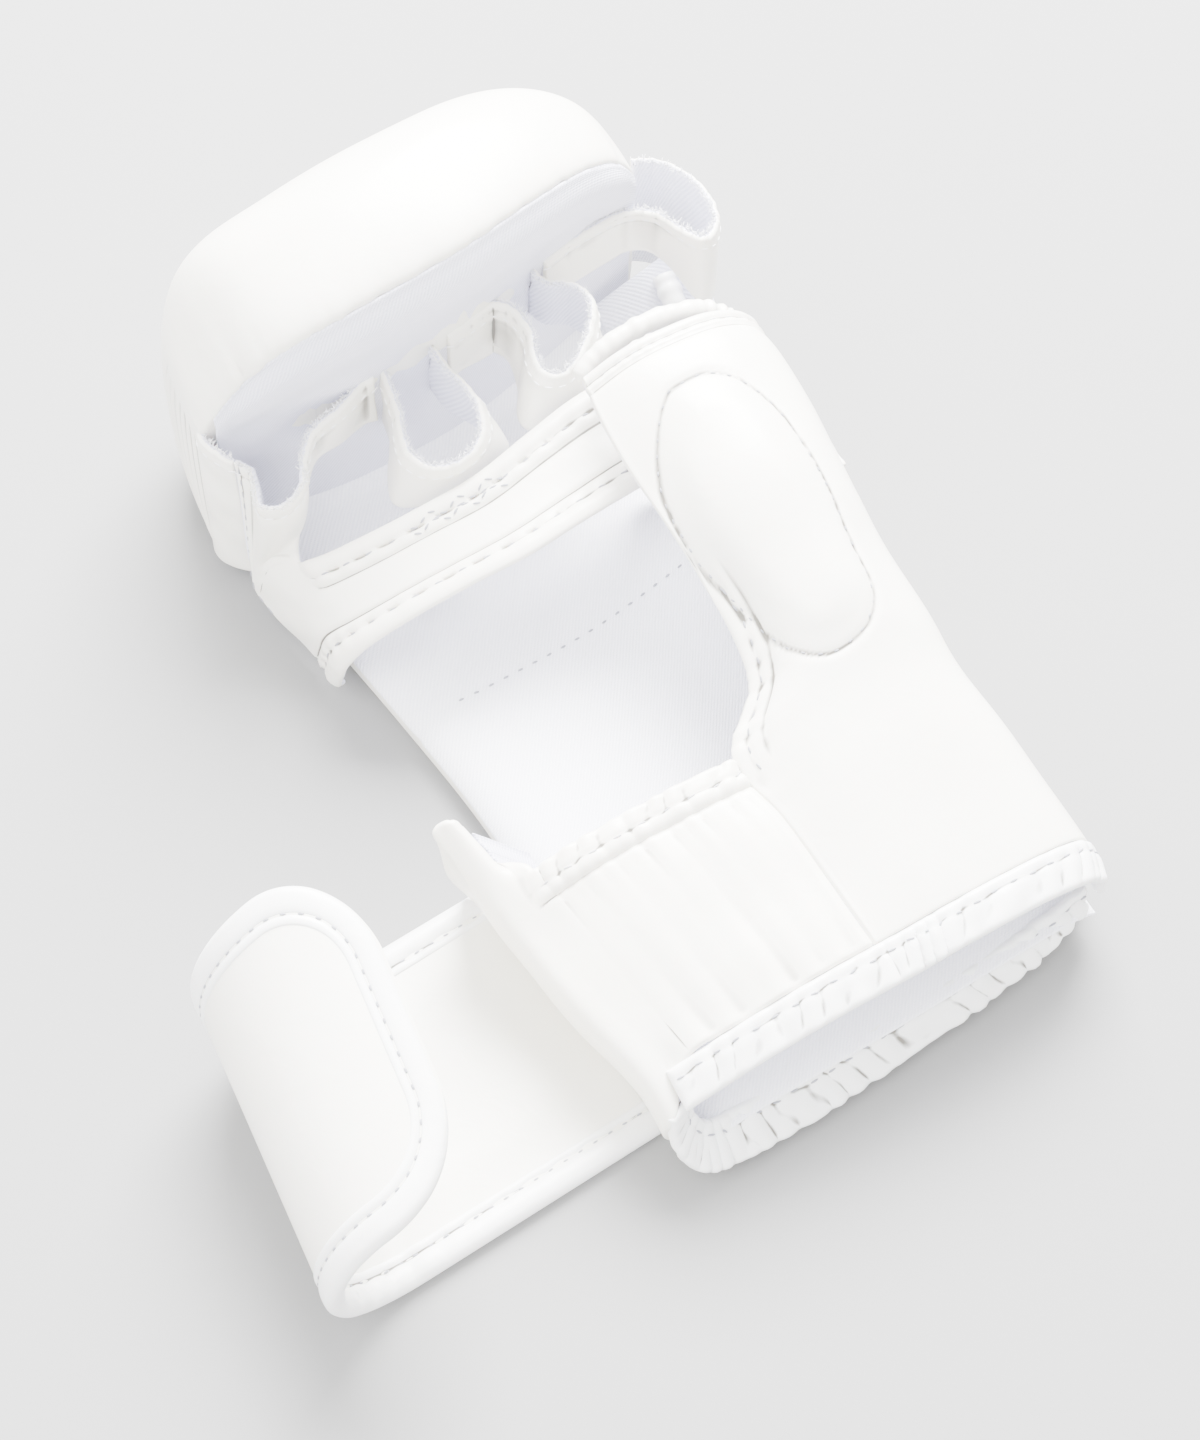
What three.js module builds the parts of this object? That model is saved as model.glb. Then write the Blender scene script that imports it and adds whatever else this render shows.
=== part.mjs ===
// Open palm sparring glove for the right hand, lying on its back with the palm up.
// Millimetres. +Z up, +Y towards the knuckle pad, +X towards the thumb.
// The origin is the point of the floor under the middle of the palm.
import * as THREE from 'three';
import { mergeVertices } from 'three/addons/utils/BufferGeometryUtils.js';

// Driving dimensions of the glove
const HAND_WIDTH = 100;       // unit of width across the palm
const HAND_LENGTH = 100;      // palm centre to the knuckle pad's inner seam
const WRIST_LENGTH = 100;     // palm centre to the wrist rim
const HAND_HEIGHT = 100;      // unit of height for the palm side pieces
const PAD_WIDTH = 128;        // knuckle pad from end to end
const PAD_DEPTH = 57;         // knuckle pad from inner face to nose
const PAD_HEIGHT = 101;       // knuckle pad's crest over the floor
const BACK_THICKNESS = 11;    // padding over the back of the hand
const RIB_COUNT = 7;          // flex ribs across the bend of the pad
const RIB_HEIGHT = 1.4;       // how far a rib stands out
const LEATHER = 1.8;          // leather wall
const TEXTILE = 1.2;          // lining cloth
const BINDING = 3.0;          // folded binding over an edge
const HEM_WIDTH = 8.5;        // binding or hem from edge to stitch line
const GATHER_HEIGHT = 1.1;    // height of a gather in an elastic hem
const GATHER_LENGTH = 7.5;    // length of one gather
const STRAP_WIDTH = 77;       // closing strap across
const STRAP_FLAT = 51;        // strap lying on the floor, from the cuff to the curl
const STRAP_TAB = 13;         // straight end of the strap past the curl
const STRAP_CURL = 28;        // radius of the curl at the strap's upper edge
const STRAP_SLANT = 14;       // how much later the curl starts at the wrist side edge
const STRAP_THICKNESS = 3.2;  // leather, foam and backing of the strap
const STRAP_BINDING = 4.6;    // thickness of the binding round the strap
const STRAP_HEM = 8.5;        // width of the binding round the strap
const STRAP_CORNER = 24;      // corner radius of the strap's free end
const GAP = 0.3;              // clearance between neighbouring pieces

// Materials
function finish(name, color, roughness) {
  const material = new THREE.MeshStandardMaterial({ color, roughness, metalness: 0 });
  material.name = name;
  return material;
}
const leather = finish('leather', 0xf4f3ef, 0.42);
const binding = finish('binding', 0xf7f7f5, 0.45);
const textile = finish('textile', 0xe9e9f1, 0.9);

const glove = new THREE.Group();

// Blend between two values
function mix(a, b, t) {
  return a + (b - a) * t;
}

// Value of one column of a table at t from 0 to 1, on a smooth curve through its rows
function column(rows, key, t) {
  const place = Math.min(Math.max(t, 0), 1) * (rows.length - 1);
  const i = Math.min(Math.floor(place), rows.length - 2);
  const f = place - i;
  const value = (k) => rows[Math.min(Math.max(k, 0), rows.length - 1)][key];
  const m0 = (value(i + 1) - value(i - 1)) / 2;
  const m1 = (value(i + 2) - value(i)) / 2;
  const f2 = f * f;
  const f3 = f2 * f;
  return (2 * f3 - 3 * f2 + 1) * value(i) + (f3 - 2 * f2 + f) * m0
    + (3 * f2 - 2 * f3) * value(i + 1) + (f3 - f2) * m1;
}

// Point of the glove from shares of its driving dimensions
function place(x, y, z) {
  const length = y > 0 ? HAND_LENGTH : WRIST_LENGTH;
  return new THREE.Vector3(x * HAND_WIDTH, y * length, z * HAND_HEIGHT);
}

// Smooth curve through rows of shares with columns x, y and z
function route(rows) {
  return (t) => place(column(rows, 'x', t), column(rows, 'y', t), column(rows, 'z', t));
}

// Closed body from rings of points, each ring in the same order, with flat ends
function addRings(name, rings, material) {
  const count = rings[0].length;
  const positions = [];
  rings.forEach((ring) => ring.forEach((p) => positions.push(p.x, p.y, p.z)));
  const ends = [rings[0], rings[rings.length - 1]];
  ends.forEach((ring) => {
    const middle = new THREE.Vector3();
    ring.forEach((p) => middle.addScaledVector(p, 1 / count));
    positions.push(middle.x, middle.y, middle.z);
  });
  const index = [];
  for (let r = 0; r < rings.length - 1; r += 1) {
    for (let k = 0; k < count; k += 1) {
      const next = (k + 1) % count;
      const a = r * count + k;
      const b = r * count + next;
      index.push(a, b, b + count, a, b + count, a + count);
    }
  }
  const first = rings.length * count;
  const last = (rings.length - 1) * count;
  for (let k = 0; k < count; k += 1) {
    const next = (k + 1) % count;
    index.push(first, next, k);
    index.push(first + 1, last + k, last + next);
  }
  addBody(name, positions, index, material);
}

// Mesh of a closed body, turned so that its faces point out
function addBody(name, positions, index, material) {
  const geometry = new THREE.BufferGeometry();
  geometry.setAttribute('position', new THREE.Float32BufferAttribute(positions, 3));
  geometry.setIndex(volumeOf(positions, index) < 0 ? index.reverse() : index);
  const mesh = new THREE.Mesh(mergeVertices(geometry, 1e-3), material);
  mesh.geometry.computeVertexNormals();
  mesh.name = name;
  glove.add(mesh);
}

function volumeOf(positions, index) {
  const corner = (k) => new THREE.Vector3().fromArray(positions, 3 * index[k]);
  let volume = 0;
  for (let k = 0; k < index.length; k += 3) {
    volume += corner(k).dot(corner(k + 1).cross(corner(k + 2))) / 6;
  }
  return volume;
}

// Sheet of even wall about a surface. The sheet covers u0..u1 and v0..v1 of it, and
// stops half a gap short of each of those lines, so that neighbours stay clear.
function addSheet(name, surface, wall, material, size, range = {}) {
  const { u0 = 0, u1 = 1, v0 = 0, v1 = 1 } = range;
  const { across, along } = size;
  const step = 1e-3;
  const centre = surface((u0 + u1) / 2, (v0 + v1) / 2);
  const uSpeed = surface((u0 + u1) / 2 + step, (v0 + v1) / 2).distanceTo(centre) / step;
  const vSpeed = surface((u0 + u1) / 2, (v0 + v1) / 2 + step).distanceTo(centre) / step;
  const uTrim = GAP / 2 / uSpeed;
  const vTrim = GAP / 2 / vSpeed;
  const sides = [[], []];
  for (let i = 0; i <= across; i += 1) {
    for (let j = 0; j <= along; j += 1) {
      const u = mix(u0 + uTrim, u1 - uTrim, i / across);
      const v = mix(v0 + vTrim, v1 - vTrim, j / along);
      const p = surface(u, v);
      const du = surface(u + step, v).sub(surface(u - step, v));
      const dv = surface(u, v + step).sub(surface(u, v - step));
      const normal = du.cross(dv).normalize();
      sides[0].push(p.clone().addScaledVector(normal, wall / 2));
      sides[1].push(p.clone().addScaledVector(normal, -wall / 2));
    }
  }
  addLayers(name, sides, size, material);
}

// Closed body between two layers of points, each of them in rows of along + 1
function addLayers(name, sides, size, material) {
  const { across, along } = size;
  const positions = [];
  sides.forEach((side) => side.forEach((p) => positions.push(p.x, p.y, p.z)));
  const row = along + 1;
  const total = (across + 1) * row;
  const index = [];
  for (let i = 0; i < across; i += 1) {
    for (let j = 0; j < along; j += 1) {
      const a = i * row + j;
      const b = a + row;
      index.push(a, b, b + 1, a, b + 1, a + 1);
      const c = a + total;
      const d = b + total;
      index.push(c, d + 1, d, c, c + 1, d + 1);
    }
  }
  const rim = (a, b) => index.push(b, a, a + total, b, a + total, b + total);
  for (let i = 0; i < across; i += 1) {
    rim(i * row, (i + 1) * row);
    rim((i + 1) * row + along, i * row + along);
  }
  for (let j = 0; j < along; j += 1) {
    rim(j + 1, j);
    rim(across * row + j, across * row + j + 1);
  }
  addBody(name, positions, index, material);
}

// Surface between two smooth curves
function between(first, second) {
  return (u, v) => first(v).lerp(second(v), u);
}

// Surface with small waves along v, as an elastic hem has, of the named gather length
function gathered(surface, length, swell) {
  const waves = Math.round(length / GATHER_LENGTH);
  return (u, v) => {
    const p = surface(u, v);
    p.z += GATHER_HEIGHT * swell(u) * Math.sin(2 * Math.PI * waves * v);
    return p;
  };
}

// Knuckle pad. Each row is a section across it: its place along the pad, how far its
// inner face stands forward of the seam line, and its depth, height and lift off the floor.
const padRows = [
  { x: -0.406, set: 0.26, deep: 0.10, tall: 0.46, lift: 0.24 },
  { x: -0.397, set: 0.15, deep: 0.36, tall: 0.56, lift: 0.11 },
  { x: -0.370, set: 0.05, deep: 0.66, tall: 0.71, lift: 0.03 },
  { x: -0.318, set: -0.01, deep: 0.84, tall: 0.83, lift: 0 },
  { x: -0.235, set: -0.07, deep: 0.94, tall: 0.92, lift: 0 },
  { x: -0.095, set: -0.11, deep: 0.99, tall: 0.98, lift: 0 },
  { x: 0.110, set: -0.09, deep: 1.00, tall: 1.00, lift: 0 },
  { x: 0.290, set: 0.00, deep: 0.93, tall: 0.98, lift: 0 },
  { x: 0.430, set: 0.10, deep: 0.78, tall: 0.92, lift: 0 },
  { x: 0.530, set: 0.18, deep: 0.58, tall: 0.82, lift: 0.03 },
  { x: 0.590, set: 0.24, deep: 0.38, tall: 0.66, lift: 0.12 },
  { x: 0.608, set: 0.33, deep: 0.12, tall: 0.50, lift: 0.28 },
];
const PAD_LEAN = 0.11 * PAD_DEPTH;     // how far the inner face leans forward
const PAD_LEAN_RISE = 0.38 * PAD_HEIGHT;  // height over which it leans, under the seam
const PAD_EDGE = 0.055 * PAD_HEIGHT;   // how far the seam lies under the crest

// One column of the pad's table at x, straight from row to row as its faces are
function padColumn(key, x) {
  const share = x / PAD_WIDTH;
  const last = padRows.length - 1;
  let k = 0;
  while (k < last - 1 && padRows[k + 1].x < share) {
    k += 1;
  }
  const f = (share - padRows[k].x) / (padRows[k + 1].x - padRows[k].x);
  return mix(padRows[k][key], padRows[k + 1][key], Math.min(Math.max(f, 0), 1));
}

function padSeamZ(x) {
  return padColumn('tall', x) * PAD_HEIGHT - PAD_EDGE * padColumn('deep', x);
}

// The pad's inner face at a height: its seam side stands nearest to the wrist
function padInnerY(x, z) {
  const lean = PAD_LEAN * Math.min(padColumn('deep', x) * 1.4, 1);
  const under = Math.min(Math.max((padSeamZ(x) - z) / PAD_LEAN_RISE, 0), 1);
  return HAND_LENGTH + padColumn('set', x) * PAD_DEPTH + lean * under;
}

function padRing(row) {
  const x = row.x * PAD_WIDTH;
  const seamZ = padSeamZ(x);
  const seamY = padInnerY(x, seamZ);
  const depth = row.deep * PAD_DEPTH;
  const crest = row.tall * PAD_HEIGHT;
  const floor = row.lift * PAD_HEIGHT;
  const nose = { y: seamY + depth, z: mix(floor, crest, 0.44) };
  const top = seamY + depth * 0.40;
  const heel = padInnerY(x, floor);
  const under = Math.max(seamY + depth * 0.42, heel + 1);
  const points = [];
  const arc = (count, make) => {
    for (let k = 0; k < count; k += 1) {
      const [y, z] = make(k / count);
      points.push(new THREE.Vector3(x, y, z));
    }
  };
  arc(3, (t) => [mix(heel, under, t), floor]);
  arc(2 * RIB_COUNT + 1, (t) => {
    const angle = t * Math.PI / 2;
    const rib = RIB_HEIGHT * row.deep * (Math.round(t * (2 * RIB_COUNT + 1)) % 2);
    return [under + (nose.y - under - rib) * Math.sin(angle) ** 0.9,
      nose.z - (nose.z - floor - rib) * Math.cos(angle) ** 0.9];
  });
  arc(9, (t) => {
    const angle = t * Math.PI / 2;
    return [top + (nose.y - top) * Math.cos(angle) ** 0.92,
      nose.z + (crest - nose.z) * Math.sin(angle) ** 0.92];
  });
  arc(5, (t) => {
    const angle = t * Math.PI / 2;
    return [top - (top - seamY) * Math.sin(angle), seamZ + (crest - seamZ) * Math.cos(angle)];
  });
  arc(4, (t) => {
    const z = mix(seamZ, floor, t);
    return [padInnerY(x, z), z];
  });
  return points;
}

function addKnucklePad() {
  addRings('knuckle_pad', padRows.map(padRing), leather);
}

// Cloth on the pad's inner face, between the hand lining and the seam
const PAD_LINING_LEFT = -0.345;             // share of the pad's width
const PAD_LINING_RIGHT = 0.56;              // share of the pad's width
const PAD_LINING_OUT = TEXTILE + 3 * GAP;   // from the pad to the lining's outer face

function addPadLining() {
  const low = BACK_THICKNESS + TEXTILE + 3 * GAP;
  const surface = (u, v) => {
    const x = mix(PAD_LINING_LEFT, PAD_LINING_RIGHT, u) * PAD_WIDTH;
    const z = mix(low, padSeamZ(x) - PAD_EDGE * 0.6, v);
    return new THREE.Vector3(x, padInnerY(x, z) - PAD_LINING_OUT + TEXTILE / 2, z);
  };
  addSheet('pad_lining', surface, TEXTILE, textile, { across: 14, along: 6 });
}

// Outline of the padding over the back of the hand, from the wrist to the knuckle pad
const backRows = [
  { left: -0.305, right: 0.835 },
  { left: -0.325, right: 0.80 },
  { left: -0.315, right: 0.775 },
  { left: -0.320, right: 0.765 },
  { left: -0.355, right: 0.77 },
  { left: -0.400, right: 0.78 },
  { left: -0.440, right: 0.785 },
];
const BACK_END = 0.945 * WRIST_LENGTH;   // wrist end of the padding at the little finger's side
const BACK_SKEW = 0.06 * WRIST_LENGTH;   // how much shorter it is at the thumb's side

function backPoint(u, v, rise) {
  const x = mix(column(backRows, 'left', v), column(backRows, 'right', v), u) * HAND_WIDTH;
  const y = mix(-BACK_END + BACK_SKEW * u ** 1.5, padInnerY(x, 0) - 3 * GAP, v);
  const edge = 1 - Math.abs(2 * u - 1) ** 9;
  const z = BACK_THICKNESS * (0.35 + 0.65 * edge ** 0.6) * rise;
  return new THREE.Vector3(x, y, z);
}

function addBackPad() {
  const size = { across: 18, along: 14 };
  const sides = [[], []];
  for (let i = 0; i <= size.across; i += 1) {
    for (let j = 0; j <= size.along; j += 1) {
      sides[0].push(backPoint(i / size.across, j / size.along, 1));
      sides[1].push(backPoint(i / size.across, j / size.along, 0));
    }
  }
  addLayers('back_pad', sides, size, leather);
}

function addHandLining() {
  const surface = (u, v) => {
    const p = backPoint(mix(0.004, 0.985, u), mix(0.02, 0.985, v), 1);
    p.z += GAP + TEXTILE * 0.9;
    return p;
  };
  addSheet('hand_lining', surface, TEXTILE, textile, { across: 14, along: 10 });
}

// Finger ribbon. Each row is a place along its rim: x across the hand, y along it, the
// heights of the rim and of the lower edge, and how far the lower edge shifts towards the
// thumb and spreads towards the wrist. Where y would run into the pad, it lies on its lining.
function ribbonSurface(rows) {
  return (u, v) => {
    const x = column(rows, 'x', u) * HAND_WIDTH;
    const rim = column(rows, 'rim', u) * HAND_HEIGHT;
    const low = column(rows, 'low', u) * HAND_HEIGHT;
    const face = padInnerY(x, rim) - PAD_LINING_OUT - LEATHER / 2 - 2 * GAP;
    const free = x > PAD_LINING_RIGHT * PAD_WIDTH ? Infinity : face;
    const y = Math.min(column(rows, 'y', u) * HAND_LENGTH, free);
    const shift = column(rows, 'shift', u) * HAND_WIDTH;
    const spread = column(rows, 'spread', u) * HAND_LENGTH;
    return new THREE.Vector3(x + shift * v, y - spread * v, mix(rim, low, v));
  };
}

const gussetRows = [
  { x: -0.512, y: 1.090, rim: 0.54, low: 0.11, shift: 0.025, spread: 0 },
  { x: -0.517, y: 1.040, rim: 0.555, low: 0.07, shift: 0.030, spread: 0.01 },
  { x: -0.502, y: 0.990, rim: 0.56, low: 0.06, shift: 0.025, spread: 0.01 },
  { x: -0.478, y: 0.943, rim: 0.55, low: 0.06, shift: 0.020, spread: 0.01 },
];
const pinkyRows = [
  { x: -0.475, y: 0.938, rim: 0.550, low: 0.06, shift: 0.020, spread: 0.010 },
  { x: -0.449, y: 0.912, rim: 0.535, low: 0.06, shift: 0, spread: 0.015 },
  { x: -0.455, y: 0.878, rim: 0.510, low: 0.07, shift: 0, spread: 0.020 },
  { x: -0.466, y: 0.842, rim: 0.490, low: 0.10, shift: 0.010, spread: 0.020 },
  { x: -0.442, y: 0.814, rim: 0.490, low: 0.15, shift: 0.005, spread: 0.015 },
  { x: -0.400, y: 0.806, rim: 0.500, low: 0.18, shift: 0.005, spread: 0.010 },
  { x: -0.357, y: 0.825, rim: 0.520, low: 0.19, shift: 0.005, spread: 0.005 },
  { x: -0.318, y: 0.880, rim: 0.540, low: 0.23, shift: 0, spread: 0 },
  { x: -0.270, y: 0.920, rim: 0.560, low: 0.36, shift: 0, spread: 0 },
  { x: -0.184, y: 0.943, rim: 0.570, low: 0.40, shift: 0, spread: 0 },
  { x: -0.076, y: 0.990, rim: 0.580, low: 0.40, shift: 0, spread: 0 },
];
const ringRows = [
  { x: -0.043, y: 0.990, rim: 0.580, low: 0.36, shift: 0, spread: 0 },
  { x: -0.056, y: 0.915, rim: 0.570, low: 0.36, shift: -0.010, spread: 0 },
  { x: -0.065, y: 0.865, rim: 0.560, low: 0.36, shift: -0.030, spread: 0 },
  { x: -0.085, y: 0.810, rim: 0.545, low: 0.37, shift: -0.050, spread: 0.020 },
  { x: -0.092, y: 0.755, rim: 0.535, low: 0.38, shift: -0.060, spread: 0.020 },
  { x: -0.062, y: 0.700, rim: 0.530, low: 0.39, shift: -0.045, spread: 0 },
  { x: -0.010, y: 0.675, rim: 0.540, low: 0.40, shift: -0.010, spread: -0.010 },
  { x: 0.040, y: 0.682, rim: 0.550, low: 0.41, shift: 0.030, spread: -0.010 },
  { x: 0.084, y: 0.720, rim: 0.560, low: 0.42, shift: 0.060, spread: 0.005 },
  { x: 0.106, y: 0.780, rim: 0.575, low: 0.42, shift: 0.045, spread: 0.020 },
  { x: 0.104, y: 0.845, rim: 0.580, low: 0.41, shift: 0.020, spread: 0.020 },
  { x: 0.092, y: 0.915, rim: 0.580, low: 0.40, shift: 0.005, spread: 0 },
  { x: 0.090, y: 1.000, rim: 0.580, low: 0.39, shift: 0, spread: 0 },
];
const middleRows = [
  { x: 0.136, y: 1.010, rim: 0.590, low: 0.40, shift: 0, spread: 0 },
  { x: 0.200, y: 1.010, rim: 0.595, low: 0.40, shift: 0, spread: 0 },
  { x: 0.262, y: 1.020, rim: 0.600, low: 0.40, shift: 0, spread: 0 },
  { x: 0.312, y: 0.975, rim: 0.600, low: 0.41, shift: -0.020, spread: 0.020 },
  { x: 0.325, y: 0.905, rim: 0.580, low: 0.42, shift: -0.060, spread: 0.050 },
  { x: 0.303, y: 0.845, rim: 0.570, low: 0.43, shift: -0.080, spread: 0.070 },
  { x: 0.298, y: 0.785, rim: 0.570, low: 0.44, shift: -0.070, spread: 0.060 },
  { x: 0.335, y: 0.755, rim: 0.575, low: 0.45, shift: -0.030, spread: 0.040 },
  { x: 0.395, y: 0.780, rim: 0.590, low: 0.45, shift: 0.010, spread: 0.040 },
  { x: 0.455, y: 0.835, rim: 0.600, low: 0.44, shift: 0.020, spread: 0.030 },
  { x: 0.492, y: 0.900, rim: 0.600, low: 0.43, shift: 0.010, spread: 0.010 },
  { x: 0.475, y: 0.962, rim: 0.600, low: 0.42, shift: 0, spread: 0 },
  { x: 0.425, y: 1.000, rim: 0.600, low: 0.42, shift: 0, spread: 0 },
  { x: 0.408, y: 1.060, rim: 0.600, low: 0.42, shift: 0, spread: 0 },
];
const indexRows = [
  { x: 0.447, y: 1.070, rim: 0.600, low: 0.43, shift: 0, spread: 0 },
  { x: 0.540, y: 1.079, rim: 0.600, low: 0.43, shift: 0, spread: 0 },
  { x: 0.640, y: 1.097, rim: 0.590, low: 0.43, shift: 0, spread: 0 },
  { x: 0.710, y: 1.100, rim: 0.580, low: 0.43, shift: 0, spread: 0 },
  { x: 0.775, y: 1.068, rim: 0.570, low: 0.41, shift: 0, spread: 0 },
  { x: 0.820, y: 0.995, rim: 0.550, low: 0.36, shift: -0.010, spread: 0.010 },
  { x: 0.853, y: 0.961, rim: 0.540, low: 0.30, shift: -0.010, spread: 0.020 },
  { x: 0.895, y: 0.978, rim: 0.530, low: 0.22, shift: -0.010, spread: 0.010 },
  { x: 0.927, y: 1.025, rim: 0.530, low: 0.16, shift: -0.010, spread: 0 },
  { x: 0.936, y: 1.110, rim: 0.530, low: 0.13, shift: -0.020, spread: 0 },
  { x: 0.912, y: 1.190, rim: 0.530, low: 0.12, shift: -0.020, spread: 0 },
  { x: 0.870, y: 1.235, rim: 0.540, low: 0.12, shift: -0.010, spread: 0 },
  { x: 0.812, y: 1.250, rim: 0.560, low: 0.14, shift: 0, spread: 0 },
];

function addFingerLoops() {
  const size = { across: 30, along: 3 };
  addSheet('side_gusset', ribbonSurface(gussetRows), LEATHER, leather, { across: 5, along: 4 });
  addSheet('finger_loop_pinky', ribbonSurface(pinkyRows), LEATHER, leather, size);
  addSheet('finger_loop_ring', ribbonSurface(ringRows), LEATHER, leather, size);
  addSheet('finger_loop_middle', ribbonSurface(middleRows), LEATHER, leather, size);
  addSheet('finger_loop_index', ribbonSurface(indexRows), LEATHER, leather, size);
}

// Bar across the palm, from the left side of the hand to the layer behind the thumb.
// low and high are its two edges along the hand, and lean is how much further out the
// high edge lies.
const barRows = [
  { x: -0.412, z: 0.07, low: 0.545, high: 0.810, lean: 0.045 },
  { x: -0.440, z: 0.14, low: 0.525, high: 0.780, lean: 0.030 },
  { x: -0.430, z: 0.22, low: 0.500, high: 0.755, lean: 0.015 },
  { x: -0.370, z: 0.30, low: 0.470, high: 0.710, lean: 0.010 },
  { x: -0.265, z: 0.375, low: 0.435, high: 0.672, lean: 0 },
  { x: -0.120, z: 0.43, low: 0.405, high: 0.645, lean: 0 },
  { x: 0.030, z: 0.465, low: 0.390, high: 0.650, lean: 0 },
  { x: 0.180, z: 0.49, low: 0.395, high: 0.680, lean: 0 },
  { x: 0.310, z: 0.505, low: 0.400, high: 0.705, lean: 0 },
  { x: 0.408, z: 0.51, low: 0.405, high: 0.715, lean: 0 },
];
const BAR_WIDTH = 0.25 * HAND_LENGTH;

function barSurface(u, v) {
  const x = column(barRows, 'x', v) - column(barRows, 'lean', v) * u;
  const y = mix(column(barRows, 'low', v), column(barRows, 'high', v), u);
  return place(x, y, column(barRows, 'z', v));
}

function addPalmBar() {
  const hem = HEM_WIDTH / BAR_WIDTH;
  const hems = { across: 1, along: 22 };
  addSheet('bar_hem_wrist', barSurface, BINDING, binding, hems, { u1: hem });
  addSheet('palm_bar', barSurface, LEATHER, leather, { across: 3, along: 22 },
    { u0: hem, u1: 1 - hem });
  addSheet('bar_hem_finger', barSurface, BINDING, binding, hems, { u0: 1 - hem });
}

// Thumb sleeve and the wrist panel it runs into, from the wrist rim to the thumb's mouth.
// edge is its left border, crown its highest line, side the furthest line on the right and
// foot the line where it meets the back padding's side.
const sleeveRows = [
  { y: -0.870, edgeX: 0.222, edgeZ: 0.380, crownX: 0.44, crownZ: 0.385, sideX: 0.870, foot: 0.862 },
  { y: -0.690, edgeX: 0.213, edgeZ: 0.405, crownX: 0.46, crownZ: 0.435, sideX: 0.840, foot: 0.832 },
  { y: -0.500, edgeX: 0.200, edgeZ: 0.425, crownX: 0.49, crownZ: 0.480, sideX: 0.825, foot: 0.812 },
  { y: -0.320, edgeX: 0.178, edgeZ: 0.430, crownX: 0.52, crownZ: 0.520, sideX: 0.812, foot: 0.798 },
  { y: -0.200, edgeX: 0.300, edgeZ: 0.450, crownX: 0.54, crownZ: 0.560, sideX: 0.808, foot: 0.794 },
  { y: -0.070, edgeX: 0.334, edgeZ: 0.490, crownX: 0.56, crownZ: 0.610, sideX: 0.805, foot: 0.788 },
  { y: 0.100, edgeX: 0.330, edgeZ: 0.545, crownX: 0.57, crownZ: 0.655, sideX: 0.808, foot: 0.788 },
  { y: 0.250, edgeX: 0.317, edgeZ: 0.600, crownX: 0.57, crownZ: 0.690, sideX: 0.820, foot: 0.792 },
  { y: 0.400, edgeX: 0.305, edgeZ: 0.640, crownX: 0.56, crownZ: 0.715, sideX: 0.840, foot: 0.798 },
  { y: 0.550, edgeX: 0.312, edgeZ: 0.665, crownX: 0.55, crownZ: 0.730, sideX: 0.855, foot: 0.802 },
  { y: 0.690, edgeX: 0.335, edgeZ: 0.670, crownX: 0.53, crownZ: 0.715, sideX: 0.855, foot: 0.806 },
];
const THUMB_PAD = 0.018;   // rise of the padded patch on the thumb
const RIM_SKEW = 0.06;     // how much shorter the wrist rim is at the thumb's side

function sleeveSurface(u, v) {
  const get = (key) => column(sleeveRows, key, v);
  const crownZ = get('crownZ');
  const section = [
    { x: get('edgeX'), z: get('edgeZ') },
    { x: mix(get('edgeX'), get('crownX'), 0.5), z: mix(get('edgeZ'), crownZ, 0.8) },
    { x: get('crownX'), z: crownZ },
    { x: mix(get('crownX'), get('sideX'), 0.5), z: crownZ * 0.965 },
    { x: mix(get('crownX'), get('sideX'), 0.86), z: crownZ * 0.83 },
    { x: get('sideX'), z: crownZ * 0.55 },
    { x: mix(get('sideX'), get('foot'), 0.5), z: crownZ * 0.28 },
    { x: get('foot'), z: 0.03 },
  ];
  const bump = THUMB_PAD * bell((v - 0.71) / 0.20) * bell((u - 0.34) / 0.24);
  const skew = RIM_SKEW * u * u * Math.max(1 - v / 0.3, 0);
  return place(column(section, 'x', u), get('y') + skew, column(section, 'z', u) + bump);
}

// Smooth hump of height 1 between -1 and 1
function bell(t) {
  return Math.abs(t) < 1 ? (0.5 + 0.5 * Math.cos(Math.PI * t)) ** 0.5 : 0;
}

function addThumbSleeve() {
  const mouth = 1 - HEM_WIDTH / (1.56 * HAND_LENGTH);
  addSheet('thumb_sleeve', sleeveSurface, LEATHER, leather,
    { across: 18, along: 22 }, { v1: mouth });
  addSheet('thumb_hem', sleeveSurface, BINDING, binding,
    { across: 18, along: 1 }, { v0: mouth });
}

// Layer behind the thumb's mouth, which closes the sleeve towards the fingers
function addThumbBack() {
  const upper = route([
    { x: 0.400, y: 0.735, z: 0.600 },
    { x: 0.480, y: 0.750, z: 0.635 },
    { x: 0.600, y: 0.760, z: 0.625 },
    { x: 0.710, y: 0.765, z: 0.580 },
    { x: 0.790, y: 0.765, z: 0.480 },
  ]);
  const foot = (BACK_THICKNESS + 2 * TEXTILE + GAP) / HAND_HEIGHT;
  const lower = route([
    { x: 0.465, y: 0.600, z: foot + 0.04 },
    { x: 0.530, y: 0.570, z: foot + 0.01 },
    { x: 0.600, y: 0.560, z: foot },
    { x: 0.670, y: 0.570, z: foot },
    { x: 0.730, y: 0.600, z: foot },
  ]);
  addSheet('thumb_back', between(upper, lower), LEATHER, leather, { across: 6, along: 8 });
}

// Palm panel of the cuff, between the left roll and the thumb piece
const panelRows = [
  { y: -0.870, leftX: -0.330, leftZ: 0.290, midZ: 0.355 },
  { y: -0.740, leftX: -0.360, leftZ: 0.305, midZ: 0.385 },
  { y: -0.600, leftX: -0.392, leftZ: 0.325, midZ: 0.410 },
  { y: -0.460, leftX: -0.415, leftZ: 0.345, midZ: 0.430 },
  { y: -0.320, leftX: -0.440, leftZ: 0.360, midZ: 0.445 },
];

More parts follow.
